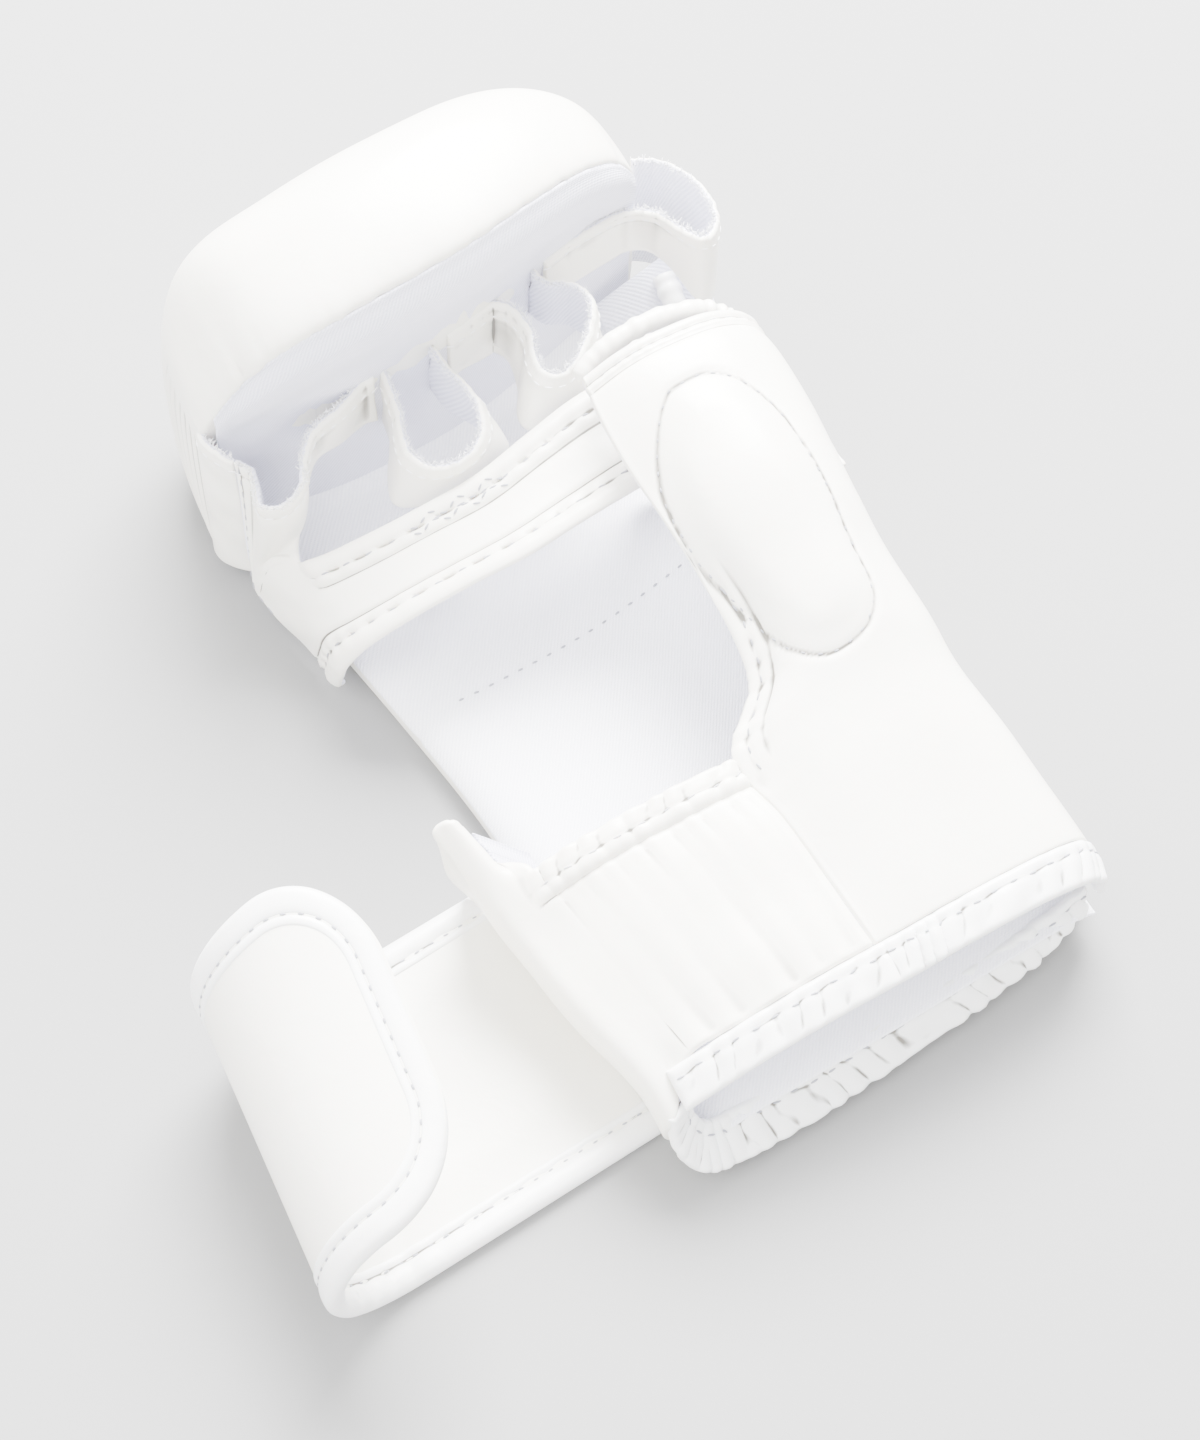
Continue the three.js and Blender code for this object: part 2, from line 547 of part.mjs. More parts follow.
function panelSurface(u, v) {
  const get = (key) => column(panelRows, key, v);
  const y = get('y');
  const seam = { x: column(sleeveRows, 'edgeX', v * 0.3), z: column(sleeveRows, 'edgeZ', v * 0.3) };
  const x = mix(get('leftX'), seam.x - GAP / HAND_WIDTH, u);
  const bow = 4 * u * (1 - u);
  const flat = mix(get('leftZ'), seam.z, u);
  const middle = (get('leftZ') + seam.z) / 2;
  return place(x, y, flat + (get('midZ') - middle) * bow);
}

function addPalmPanel() {
  const length = 0.56 * WRIST_LENGTH;
  const hem = 1 - HEM_WIDTH / length;
  addSheet('palm_panel', panelSurface, LEATHER, leather, { across: 8, along: 6 }, { v1: hem });
  const turned = (u, v) => panelSurface(v, mix(hem, 1, u));
  addSheet('palm_opening_hem', gathered(turned, 0.6 * HAND_WIDTH, (u) => u), BINDING, binding,
    { across: 2, along: 24 });
}

// Left side of the cuff: rolls from the palm panel down to the floor, with a raised ear
const sideRows = [
  { y: -1.000, topX: -0.325, topZ: 0.22, outX: -0.355, outZ: 0.13, footX: -0.340 },
  { y: -0.860, topX: -0.332, topZ: 0.29, outX: -0.375, outZ: 0.17, footX: -0.355 },
  { y: -0.650, topX: -0.383, topZ: 0.32, outX: -0.415, outZ: 0.19, footX: -0.375 },
  { y: -0.420, topX: -0.424, topZ: 0.35, outX: -0.460, outZ: 0.22, footX: -0.385 },
  { y: -0.230, topX: -0.458, topZ: 0.40, outX: -0.495, outZ: 0.26, footX: -0.375 },
  { y: -0.120, topX: -0.487, topZ: 0.44, outX: -0.505, outZ: 0.29, footX: -0.370 },
];
const SIDE_FOOT = STRAP_BINDING + 0.4 * LEATHER + GAP;   // the cuff's side ends over the strap

function cuffSideSurface(u, v) {
  const get = (key) => column(sideRows, key, v);
  const t = u * 2;
  const back = 4 * GAP / HAND_WIDTH;
  if (u < 0.5) {
    return place(mix(get('topX') - back, get('outX'), Math.sin(t * Math.PI / 2)), get('y'),
      mix(get('outZ'), get('topZ'), Math.cos(t * Math.PI / 2)));
  }
  return place(mix(get('outX'), get('footX'), (t - 1) ** 1.4), get('y'),
    mix(get('outZ'), SIDE_FOOT / HAND_HEIGHT, t - 1));
}

function addCuffSide() {
  addSheet('cuff_side', cuffSideSurface, LEATHER, leather, { across: 8, along: 10 });
}

// Edge of the palm side at the wrist, from the cuff's left roll over the seam to the right
function palmRim(t) {
  const seam = 0.38;
  return t < seam ? panelSurface(t / seam, 0) : sleeveSurface((t - seam) / (1 - seam) * 0.74, 0);
}

// Gathered hems of the wrist rim, one on the palm side and one on the back
function addWristHems() {
  const palmInner = (t) => palmRim(t).add(place(0, -GAP / WRIST_LENGTH, 0));
  const palmOuter = (t) => palmRim(t).add(place(0.01 * t, -0.084 - 0.006 * Math.sin(Math.PI * t), -0.034));
  addSheet('wrist_hem_palm', gathered(between(palmInner, palmOuter), 1.2 * HAND_WIDTH, (u) => u),
    BINDING, binding, { across: 2, along: 36 });
  const backInner = route([
    { x: -0.285, y: -0.953, z: 0.130 },
    { x: -0.100, y: -0.953, z: 0.122 },
    { x: 0.130, y: -0.946, z: 0.122 },
    { x: 0.340, y: -0.935, z: 0.122 },
    { x: 0.560, y: -0.918, z: 0.127 },
    { x: 0.700, y: -0.905, z: 0.137 },
    { x: 0.810, y: -0.895, z: 0.160 },
  ]);
  const backOuter = route([
    { x: -0.300, y: -1.050, z: 0.045 },
    { x: -0.100, y: -1.050, z: 0.035 },
    { x: 0.130, y: -1.035, z: 0.035 },
    { x: 0.340, y: -1.015, z: 0.040 },
    { x: 0.560, y: -0.985, z: 0.045 },
    { x: 0.700, y: -0.960, z: 0.060 },
    { x: 0.825, y: -0.925, z: 0.095 },
  ]);
  addSheet('wrist_hem_back', gathered(between(backInner, backOuter), 1.1 * HAND_WIDTH, (u) => u),
    BINDING, binding, { across: 2, along: 36 });
}

// Strap. a runs along it from the cuff, b across it from its finger side edge, and rise
// is the height over the strap's middle. It lies on the floor, then curls up and back.
function strapPoint(a, b, rise) {
  const share = b / STRAP_WIDTH;
  const radius = STRAP_CURL * mix(1, 0.82, share);
  const start = STRAP_FLAT + STRAP_SLANT * share;
  const arc = Math.PI * radius;
  const startX = -0.350 * HAND_WIDTH;
  const y = -0.125 * WRIST_LENGTH - b - 0.075 * Math.min(a, start + radius);
  const mid = STRAP_BINDING / 2;
  if (a < start) {
    return new THREE.Vector3(startX - a, y, mid + rise);
  }
  const turn = Math.min((a - start) / radius, Math.PI);
  const past = Math.max(a - start - arc, 0);
  const reach = radius - rise;
  return new THREE.Vector3(startX - start - reach * Math.sin(turn) + past, y,
    mid + radius - reach * Math.cos(turn) - 0.12 * past);
}

// Half outline of the strap on the flat: how far in from each long edge it starts at a
function strapInset(a, length, corner) {
  const past = a - (length - corner);
  return past > 0 ? corner - Math.sqrt(Math.max(corner * corner - past * past, 0)) : 0;
}

function strapLength() {
  return STRAP_FLAT + Math.PI * STRAP_CURL + STRAP_TAB;
}

// Places along the strap, closer together at its rounded end
function strapStations(length, corner) {
  const places = [];
  for (let k = 0; k <= 20; k += 1) {
    places.push(mix(0, length - corner, k / 20));
  }
  for (let k = 1; k <= 6; k += 1) {
    places.push(length - corner + corner * Math.sin(k / 6 * Math.PI / 2) * 0.985);
  }
  return places;
}

// Binding's outline on the flat, and the line where it meets the strap
function strapOutline() {
  const length = strapLength();
  const innerLength = length - STRAP_HEM;
  const innerCorner = STRAP_CORNER - STRAP_HEM;
  return strapStations(length, STRAP_CORNER).map((a) => {
    const q = a * innerLength / length;
    return {
      a,
      inset: strapInset(a, length, STRAP_CORNER),
      innerA: q,
      innerInset: strapInset(q, innerLength, innerCorner) + STRAP_HEM,
    };
  });
}

function addStrap() {
  const half = STRAP_THICKNESS / 2;
  const across = 6;
  const rings = strapOutline().map((p) => {
    const inset = p.innerInset + 1.5 * GAP;
    const a = p.innerA * (1 - 1.5 * GAP / strapLength());
    const ring = [];
    for (let k = 0; k <= across; k += 1) {
      ring.push(strapPoint(a, mix(inset, STRAP_WIDTH - inset, k / across), half));
    }
    for (let k = across; k >= 0; k -= 1) {
      ring.push(strapPoint(a, mix(inset, STRAP_WIDTH - inset, k / across), -half));
    }
    return ring;
  });
  addRings('strap', rings, leather);
}

// Binding round the strap's edge: one long strip along both edges and round the end
function addStrapBinding() {
  const half = STRAP_BINDING / 2;
  const rim = half * 0.55;
  const section = (p, side) => {
    const edge = (b) => (side > 0 ? b : STRAP_WIDTH - b);
    const roll = { a: mix(p.a, p.innerA, 0.3), b: edge(mix(p.inset, p.innerInset, 0.3)) };
    return [
      strapPoint(p.a, edge(p.inset), rim),
      strapPoint(roll.a, roll.b, half),
      strapPoint(p.innerA, edge(p.innerInset), half),
      strapPoint(p.innerA, edge(p.innerInset), -half),
      strapPoint(roll.a, roll.b, -half),
      strapPoint(p.a, edge(p.inset), -rim),
    ];
  };
  const outline = strapOutline();
  const rings = outline.map((p) => section(p, 1));
  outline.reverse().forEach((p) => rings.push(section(p, -1)));
  addRings('strap_binding', rings, binding);
}

addKnucklePad();
addPadLining();
addBackPad();
addHandLining();
addFingerLoops();
addPalmBar();
addThumbSleeve();
addThumbBack();
addPalmPanel();
addCuffSide();
addWristHems();
addStrap();
addStrapBinding();

export default glove;
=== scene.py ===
# Looks of an open palm sparring glove for the right hand, lying on its back with the palm up.
# Sizes are in millimetres until a mesh is made. +Z up, +Y to the knuckle pad, +X to the thumb.
import math

import bpy
import numpy as np
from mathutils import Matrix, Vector


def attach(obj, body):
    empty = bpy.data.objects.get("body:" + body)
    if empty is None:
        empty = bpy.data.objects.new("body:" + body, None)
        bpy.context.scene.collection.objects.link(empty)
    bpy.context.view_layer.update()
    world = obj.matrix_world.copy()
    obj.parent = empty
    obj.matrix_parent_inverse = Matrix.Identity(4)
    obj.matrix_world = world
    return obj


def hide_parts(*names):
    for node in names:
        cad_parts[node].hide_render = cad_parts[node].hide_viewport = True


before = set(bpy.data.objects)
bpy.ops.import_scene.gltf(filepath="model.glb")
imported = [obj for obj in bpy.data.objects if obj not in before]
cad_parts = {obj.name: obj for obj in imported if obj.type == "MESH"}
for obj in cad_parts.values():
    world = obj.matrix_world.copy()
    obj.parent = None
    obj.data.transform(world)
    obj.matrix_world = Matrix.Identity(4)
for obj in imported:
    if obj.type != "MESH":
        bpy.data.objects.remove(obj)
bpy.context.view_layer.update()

MM = 0.001

# Driving dimensions, as the solids have them but for the strap's tab and curl
HAND_WIDTH = 100.0
HAND_LENGTH = 100.0
WRIST_LENGTH = 100.0
HAND_HEIGHT = 100.0
PAD_WIDTH = 128.0
PAD_DEPTH = 57.0
PAD_HEIGHT = 101.0
BACK_THICKNESS = 11.0
STRAP_WIDTH = 77.0
STRAP_FLAT = 51.0
STRAP_TAB = 9.0
STRAP_CURL = 30.0
STRAP_SLANT = 14.0
STRAP_CORNER = 24.0

# Walls and edges
LEATHER = 1.6            # leather wall
TEXTILE = 1.1            # lining cloth
HEM = 6.8                # turned hem, from its edge to its inner fold
HEM_STITCH = 4.6         # stitch line from the hem's edge
STRAP_HEM = 8.5          # binding round the strap
STRAP_STITCH = 6.1       # stitch line from the strap's edge
STRAP_WALL = 3.4         # strap's leather, foam and backing
LOOP_STITCH = 3.2        # stitch line below a finger loop's rim
MOUTH_HEM = 8.0          # hem of the thumb's mouth
MOUTH_STITCH = 5.4       # stitch line from the mouth
OPENING_STITCH = 5.2     # stitch line from the palm opening's edge
PALM_HEM_STITCH = 3.0    # stitch line from the inner edge of the palm's wrist hem
BACK_HEM_STITCH = 3.6    # and of the back's wrist hem
STITCH_LONG = 6.4        # stitch pitch on the hems
STITCH_SHORT = 4.1       # stitch pitch on the lining and the thumb
THREAD = 0.30            # thread radius
FIBRE = 0.13             # radius of a loose fibre at its root
FIBRE_PITCH = 0.16       # from one loose fibre to the next
# Painted shade: the leather is toned towards grey in its creases, from the first of these values to the
# second
CREASE_FAINT = 0.008     # mean rise of the surface about a point, at which a crease starts to show
CREASE_DEEP = 0.07       # and at which it has its full tone


# Tables and curves

def table(names, *rows):
    """Named columns of a table of rows."""
    return {name: np.array([row[i] for row in rows], float) for i, name in enumerate(names.split())}


def column(rows, key, t):
    """Column of a table at t from 0 to 1, on a smooth curve through its rows."""
    values = rows[key]
    return curve_at(len(values), np.asarray(t, float), lambda k: values[k])


def blend_rows(rows, t):
    """Smooth curve through arrays at t from 0 to 1."""
    rows = np.stack(rows)
    return curve_at(len(rows), t, lambda k: np.take_along_axis(rows, k[None], axis=0)[0])


def curve_at(count, t, pick):
    """Smooth curve at t from 0 to 1 through the values that pick gives for 0 to count - 1."""
    last = count - 1
    spot = np.clip(t, 0, 1) * last
    i = np.minimum(spot.astype(int), last - 1)
    f = spot - i
    before, first, second, after = (pick(np.clip(i + k, 0, last)) for k in (-1, 0, 1, 2))
    return hermite(f, first, (second - before) / 2, second, (after - first) / 2)


def hermite(f, first, leave, second, arrive):
    """Cubic from one value to another, with the slopes that it leaves and arrives with."""
    return ((2 * f**3 - 3 * f**2 + 1) * first + (f**3 - 2 * f**2 + f) * leave
            + (3 * f**2 - 2 * f**3) * second + (f**3 - f**2) * arrive)


def mix(a, b, t):
    """Blend between two values."""
    return a + (b - a) * t


def place(x, y, z):
    """Points of the glove from shares of its driving dimensions."""
    x, y, z = np.broadcast_arrays(x, y, z)
    length = np.where(y > 0, HAND_LENGTH, WRIST_LENGTH)
    return np.stack([x * HAND_WIDTH, y * length, z * HAND_HEIGHT], axis=-1)


def route(rows):
    """Smooth curve through a table with columns x, y and z."""
    return lambda t: place(column(rows, "x", t), column(rows, "y", t), column(rows, "z", t))


def between(first, second):
    """Surface between two curves."""
    return lambda u, v: first(v) * (1 - u)[..., None] + second(v) * u[..., None]


def step_up(value, low, high):
    """Smooth step from 0 at low to 1 at high."""
    t = np.clip((value - low) / (high - low), 0, 1)
    return t * t * (3 - 2 * t)


def hump(value, centre, half):
    """Smooth hump of height 1 at a centre, 0 outside half its width."""
    t = np.clip(np.abs(value - centre) / half, 0, 1)
    return 0.5 + 0.5 * np.cos(np.pi * t)


def groove(value, centre, width):
    """Narrow rounded groove, 1 at its centre."""
    return np.exp(-((value - centre) / width) ** 2)


def waves(value, size, seed):
    """Uneven waves along one direction, between -1 and 1, of a mean length."""
    rng = np.random.default_rng(seed)
    total = 0
    for share in (0.55, 0.8, 1.0, 1.3, 1.9):
        total = total + np.sin(2 * np.pi * value * share / size + rng.uniform(0, 6.28))
    return total / 3.2


def swells(points, size, seed):
    """Soft uneven swells over points, between about -1 and 1, of a mean length."""
    rng = np.random.default_rng(seed)
    total = 0
    for _ in range(9):
        way = rng.normal(size=3)
        way = way / np.linalg.norm(way) * rng.uniform(0.6, 1.5)
        total = total + np.sin(2 * np.pi * points @ way / size + rng.uniform(0, 6.28))
    return total / 4.2


def gathers(value, size, seed, slant=0.0):
    """Soft folds of a gathered hem, 0 to 1, of uneven width and height."""
    phase = (value + slant) / size + 0.45 * waves(value, 5 * size, seed)
    fold = 0.5 + 0.5 * np.sin(2 * np.pi * phase)
    return fold * (0.7 + 0.3 * waves(value, 3 * size, seed + 1))


# Meshes

def mesh_object(name, points, faces, uvs, slots, face_slots=None):
    """Object from points in millimetres, faces, and one UV in metres for each face corner."""
    mesh = bpy.data.meshes.new(name)
    mesh.from_pydata((np.asarray(points) * MM).tolist(), [], faces)
    layer = mesh.uv_layers.new(name="UVMap")
    layer.data.foreach_set("uv", (np.asarray(uvs) * MM).ravel())
    for slot in slots:
        mesh.materials.append(slot)
    if face_slots is not None:
        mesh.polygons.foreach_set("material_index", face_slots)
    mesh.polygons.foreach_set("use_smooth", [True] * len(mesh.polygons))
    mesh.update()
    made = bpy.data.objects.new(name, mesh)
    bpy.context.collection.objects.link(made)
    return made


def normals_of(points):
    """Normals of a grid of points."""
    du = np.gradient(points, axis=0)
    dv = np.gradient(points, axis=1)
    normal = np.cross(du, dv)
    return normal / np.maximum(np.linalg.norm(normal, axis=-1, keepdims=True), 1e-9)


def places(marks, wall, step):
    """Places from 0 to the last mark, close together beside each mark for rounded edges."""
    turn = np.linspace(0, np.pi / 2, 5)[:-1]
    at = [np.array([marks[-1]])]
    for low, high in zip(marks[:-1], marks[1:]):
        r = min(wall / 2, (high - low) / 4)
        edge = r * (1 - np.cos(turn))
        count = max(int(round((high - low - 2 * r) / step)), 2)
        at += [low + edge, np.linspace(low + r, high - r, count + 1), (high - edge)[1:]]
    return np.unique(np.round(np.concatenate(at), 6))


class Sheet:
    """Sheet of leather or cloth about a surface of u and v, with rounded edges.

    relief(a, b, points) gives how far it swells along its normal, for places a and b in
    millimetres along u and v. The part past both shares of notch is left out."""

    def __init__(self, surface, wall, relief=None, step=1.2, turned=False, notch=(1, 1)):
        line = np.linspace(0, 1, 80)
        along_u = surface(line, np.full(80, min(0.5, notch[1] * 0.8)))
        along_v = surface(np.full(80, min(0.5, notch[0] * 0.8)), line)
        self.length = distances(along_u)[-1]
        self.width = distances(along_v)[-1]
        cut_a = notch[0] * self.length
        cut_b = notch[1] * self.width
        self.a = places(sorted({0, cut_a, self.length}), wall, step)
        self.b = places(sorted({0, cut_b, self.width}), wall, step)
        a, b = np.meshgrid(self.a, self.b, indexing="ij")
        self.inside = rim_distance(a, b, self.length, self.width, cut_a, cut_b)
        points = surface(a / self.length, b / self.width)
        self.sign = -1 if turned else 1
        if relief is not None:
            points = points + self.sign * normals_of(points) * relief(a, b, points)[..., None]
        self.normals = self.sign * normals_of(points)
        depth = 1 - np.clip(self.inside / (wall / 2), 0, 1)
        half = wall / 2 * np.sqrt(1 - depth ** 2)[..., None]
        self.front = points + self.normals * half
        self.back = points - self.normals * half

    def on(self, a, b, lift=0.0, back=False):
        """Points on the front or back at places a and b in millimetres, lifted off it."""
        side = self.back if back else self.front
        i = np.clip(np.searchsorted(self.a, a) - 1, 0, len(self.a) - 2)
        j = np.clip(np.searchsorted(self.b, b) - 1, 0, len(self.b) - 2)
        f = ((a - self.a[i]) / (self.a[i + 1] - self.a[i]))[..., None]
        g = ((b - self.b[j]) / (self.b[j + 1] - self.b[j]))[..., None]
        blend = lambda grid: ((grid[i, j] * (1 - f) + grid[i + 1, j] * f) * (1 - g)
                              + (grid[i, j + 1] * (1 - f) + grid[i + 1, j + 1] * f) * g)
        way = -1 if back else 1
        return blend(side) + way * lift * blend(self.normals)

    def build(self, name, front, back=None):
        """Closed mesh of the sheet, with another material on its back where one is given."""
        grids = (self.front, self.back, self.inside)
        return two_sided(name, self.a, self.b, grids, self.sign, front, back)


def two_sided(name, along, across, grids, sign, front, back=None):
    """Closed mesh of a front and a back grid, which meet where they are 0 inside the rim."""
    front_grid, back_grid, inside = grids
    rows, cols = inside.shape
    top = np.arange(rows * cols).reshape(rows, cols)
    under = top + rows * cols
    edge = inside < 1e-4
    under[edge] = top[edge]
    quads = lambda grid: np.stack([grid[:-1, :-1], grid[1:, :-1], grid[1:, 1:], grid[:-1, 1:]], -1)
    corners = quads(inside).reshape(-1, 4)
    kept = (corners.sum(axis=-1) > 1e-3) & (corners.min(axis=-1) > -1e-3)
    top_faces = quads(top).reshape(-1, 4)[kept][:, ::sign]
    under_faces = quads(under).reshape(-1, 4)[kept][:, ::-sign]
    flat = np.stack(np.meshgrid(along, across, indexing="ij"), -1).reshape(-1, 2)
    uvs = flat[np.concatenate([top_faces, top_faces[:, ::-1]])].reshape(-1, 2)
    points = np.concatenate([front_grid.reshape(-1, 3), back_grid.reshape(-1, 3)])
    used, index = np.unique(np.concatenate([top_faces, under_faces]), return_inverse=True)
    slots = [0] * len(top_faces) + [0 if back is None else 1] * len(under_faces)
    materials = [front] if back is None else [front, back]
    faces = index.reshape(-1, 4).tolist()
    return creased(mesh_object(name, points[used], faces, uvs, materials, slots))


def rim_distance(a, b, length, width, cut_a, cut_b):
    """Distance inside the rim of a notched rectangle, negative in its notch."""
    notched = cut_a < length and cut_b < width
    far_a = np.where(b > cut_b + 1e-5, cut_a, length) - a if notched else length - a
    far_b = np.where(a > cut_a + 1e-5, cut_b, width) - b if notched else width - b
    found = np.minimum(np.minimum(a, b), np.minimum(far_a, far_b))
    if notched:
        corner = np.hypot(np.maximum(cut_a - a, 0), np.maximum(cut_b - b, 0))
        found = np.minimum(found, np.where((a > cut_a + 1e-5) & (b > cut_b + 1e-5), -1, corner))
        found = np.where((a > cut_a + 1e-5) & (b > cut_b + 1e-5), -1, found)
    return found


def loft(name, rings, material):
    """Closed body from rings of points, with a fan over each end."""
    rings = np.asarray(rings)
    rows, count = rings.shape[:2]
    points = [rings.reshape(-1, 3)]
    index = np.arange(rows * count).reshape(rows, count)
    nxt = np.roll(index, -1, axis=1)
    faces = np.stack([index[:-1], nxt[:-1], nxt[1:], index[1:]], -1).reshape(-1, 4).tolist()
    along = np.append(0, np.cumsum(np.linalg.norm(np.diff(rings, axis=0), axis=2).max(axis=1)))
    wrapped = np.concatenate([rings, rings[:, :1]], axis=1)
    step = np.linalg.norm(np.diff(wrapped, axis=1), axis=2)
    around = np.concatenate([np.zeros((rows, 1)), np.cumsum(step, axis=1)], axis=1)
    uv = np.stack([np.repeat(along[:, None], count + 1, axis=1), around], -1)
    uvs = np.stack([uv[:-1, :-1], uv[:-1, 1:], uv[1:, 1:], uv[1:, :-1]], axis=2).reshape(-1, 2)
    for ring, row, last in ((rings[0], index[0], 0), (rings[-1], index[-1], 1)):
        centre = rows * count + last
        points.append(ring.mean(axis=0)[None, :])
        for first, second in zip(row, np.roll(row, -1)):
            faces.append([centre, first, second] if last else [centre, second, first])
    uvs = np.concatenate([uvs, np.zeros((6 * count, 2))])
    made = mesh_object(name, np.concatenate(points), faces, uvs, [material])
    return creased(outward(made))


def roll(name, path, radius, material):
    """Rolled tube along a path, with a radius for each of its points."""
    along = np.gradient(path, axis=0)
    along = along / np.linalg.norm(along, axis=1, keepdims=True)
    side = np.cross(along, np.array([0.0, 0.0, 1.0]))
    side = side / np.maximum(np.linalg.norm(side, axis=1, keepdims=True), 1e-9)
    over = np.cross(side, along)
    turn = np.linspace(0, 2 * np.pi, 19)[:-1]
    rings = path[:, None] + radius[:, None, None] * (
        np.cos(turn)[None, :, None] * side[:, None] + np.sin(turn)[None, :, None] * over[:, None])
    return loft(name, rings, material)


def creased(made):
    """Gives each vertex how hollow the surface is there, so that the leather's material can paint shade into
    its creases.
    """
    mesh = made.data
    co = np.empty(len(mesh.vertices) * 3)
    mesh.vertices.foreach_get("co", co)
    normal = np.empty(len(mesh.vertices) * 3)
    mesh.vertices.foreach_get("normal", normal)
    pairs = np.empty(len(mesh.edges) * 2, int)
    mesh.edges.foreach_get("vertices", pairs)
    co = co.reshape(-1, 3)
    normal = normal.reshape(-1, 3)
    a, b = pairs.reshape(-1, 2).T
    way = co[b] - co[a]
    way = way / np.maximum(np.linalg.norm(way, axis=1, keepdims=True), 1e-9)
    size = len(co)
    total = np.bincount(a, (way * normal[a]).sum(axis=1), size)
    total = total - np.bincount(b, (way * normal[b]).sum(axis=1), size)
    count = np.maximum(np.bincount(a, minlength=size) + np.bincount(b, minlength=size), 1)
    hollow = total / count
    for _ in range(2):
        near = np.bincount(a, hollow[b], size) + np.bincount(b, hollow[a], size)
        hollow = 0.4 * hollow + 0.6 * near / count
    layer = mesh.attributes.new("crease", "FLOAT", "POINT")
    layer.data.foreach_set("value", hollow)
    return made


def outward(made):
    """Turns a closed mesh's faces outwards where they all point in."""
    mesh = made.data
    mesh.calc_loop_triangles()
    co = np.empty(len(mesh.vertices) * 3)
    mesh.vertices.foreach_get("co", co)
    co = co.reshape(-1, 3)
    tri = np.empty(len(mesh.loop_triangles) * 3, int)
    mesh.loop_triangles.foreach_get("vertices", tri)
    a, b, c = (co[tri.reshape(-1, 3)[:, k]] for k in range(3))
    if np.einsum("ij,ij->i", a, np.cross(b, c)).sum() < 0:
        mesh.flip_normals()
    return made


# Materials

def srgb(code):
    """Linear colour from an sRGB hex code."""
    parts = [int(code[i:i + 2], 16) / 255 for i in (0, 2, 4)]
    return [p / 12.92 if p <= 0.04045 else ((p + 0.055) / 1.055) ** 2.4 for p in parts] + [1.0]


def add(tree, kind, values=None, links=None, **settings):
    """Node of a kind with its settings, its socket values and its links."""
    made = tree.nodes.new(kind)
    for key, value in settings.items():
        setattr(made, key, value)
    for socket, value in (values or {}).items():
        made.inputs[socket].default_value = value
    for socket, source in (links or {}).items():
        tree.links.new(source, made.inputs[socket])
    return made


def new_material(name, base, roughness, **sockets):
    """Material with its shader, whose even values stand on the shader's own sockets."""
    made = bpy.data.materials.new(name)
    made.use_nodes = True
    tree = made.node_tree
    shader = tree.nodes["Principled BSDF"]
    shader.inputs["Base Color"].default_value = srgb(base)
    shader.inputs["Roughness"].default_value = roughness
    for key, value in sockets.items():
        shader.inputs[key.replace("_", " ")].default_value = value
    return made, tree, shader


def coated_leather(name, base, warm, roughness, crease):
    """Polyurethane coated leather: an even, soft gloss skin over a faint pebble grain."""
    made, tree, shader = new_material(name, base, roughness, IOR=1.48, Coat_Weight=0.12,
                                      Coat_Roughness=0.25, Subsurface_Weight=0.06,
                                      Subsurface_Scale=0.004)
    spot = add(tree, "ShaderNodeTexCoord").outputs["Object"]
    # tone drifts over about 40 mm, as a hide's finish does
    drift = add(tree, "ShaderNodeTexNoise", {"Scale": 25.0, "Detail": 2.0}, {"Vector": spot})
    tone = add(tree, "ShaderNodeMix", {"A": srgb(base), "B": srgb(warm)},
               {"Factor": drift.outputs["Fac"]}, data_type="RGBA")
    # painted shade: the colour is mixed towards grey where the surface is hollow, standing in for the shade
    # that falls in creases
    hollow = add(tree, "ShaderNodeAttribute", attribute_name="crease").outputs["Fac"]
    crease_shade = add(tree, "ShaderNodeMapRange", {"From Min": CREASE_FAINT, "From Max": CREASE_DEEP, "To Max": 1.0},
               {"Value": hollow})
    shade = add(tree, "ShaderNodeMix", {"B": srgb("66625A")},
                {"Factor": crease_shade.outputs["Result"], "A": tone.outputs["Result"]}, data_type="RGBA")
    tree.links.new(shade.outputs["Result"], shader.inputs["Base Color"])
    # pebble grain of 0.7 mm, drawn a little coarse so that it shows
    grain = add(tree, "ShaderNodeTexVoronoi", {"Scale": 1400.0}, {"Vector": spot}, feature="SMOOTH_F1")
    fine = add(tree, "ShaderNodeBump", {"Strength": 0.10, "Distance": 0.0001},
               {"Height": grain.outputs["Distance"]})
    # soft creases some 7 mm across
    fold = add(tree, "ShaderNodeTexNoise", {"Scale": 140.0, "Detail": 3.0, "Distortion": 0.6},
               {"Vector": spot})
    soft = add(tree, "ShaderNodeBump", {"Strength": crease, "Distance": 0.0012},
               {"Height": fold.outputs["Fac"], "Normal": fine.outputs["Normal"]})
    tree.links.new(soft.outputs["Normal"], shader.inputs["Normal"])
    return made


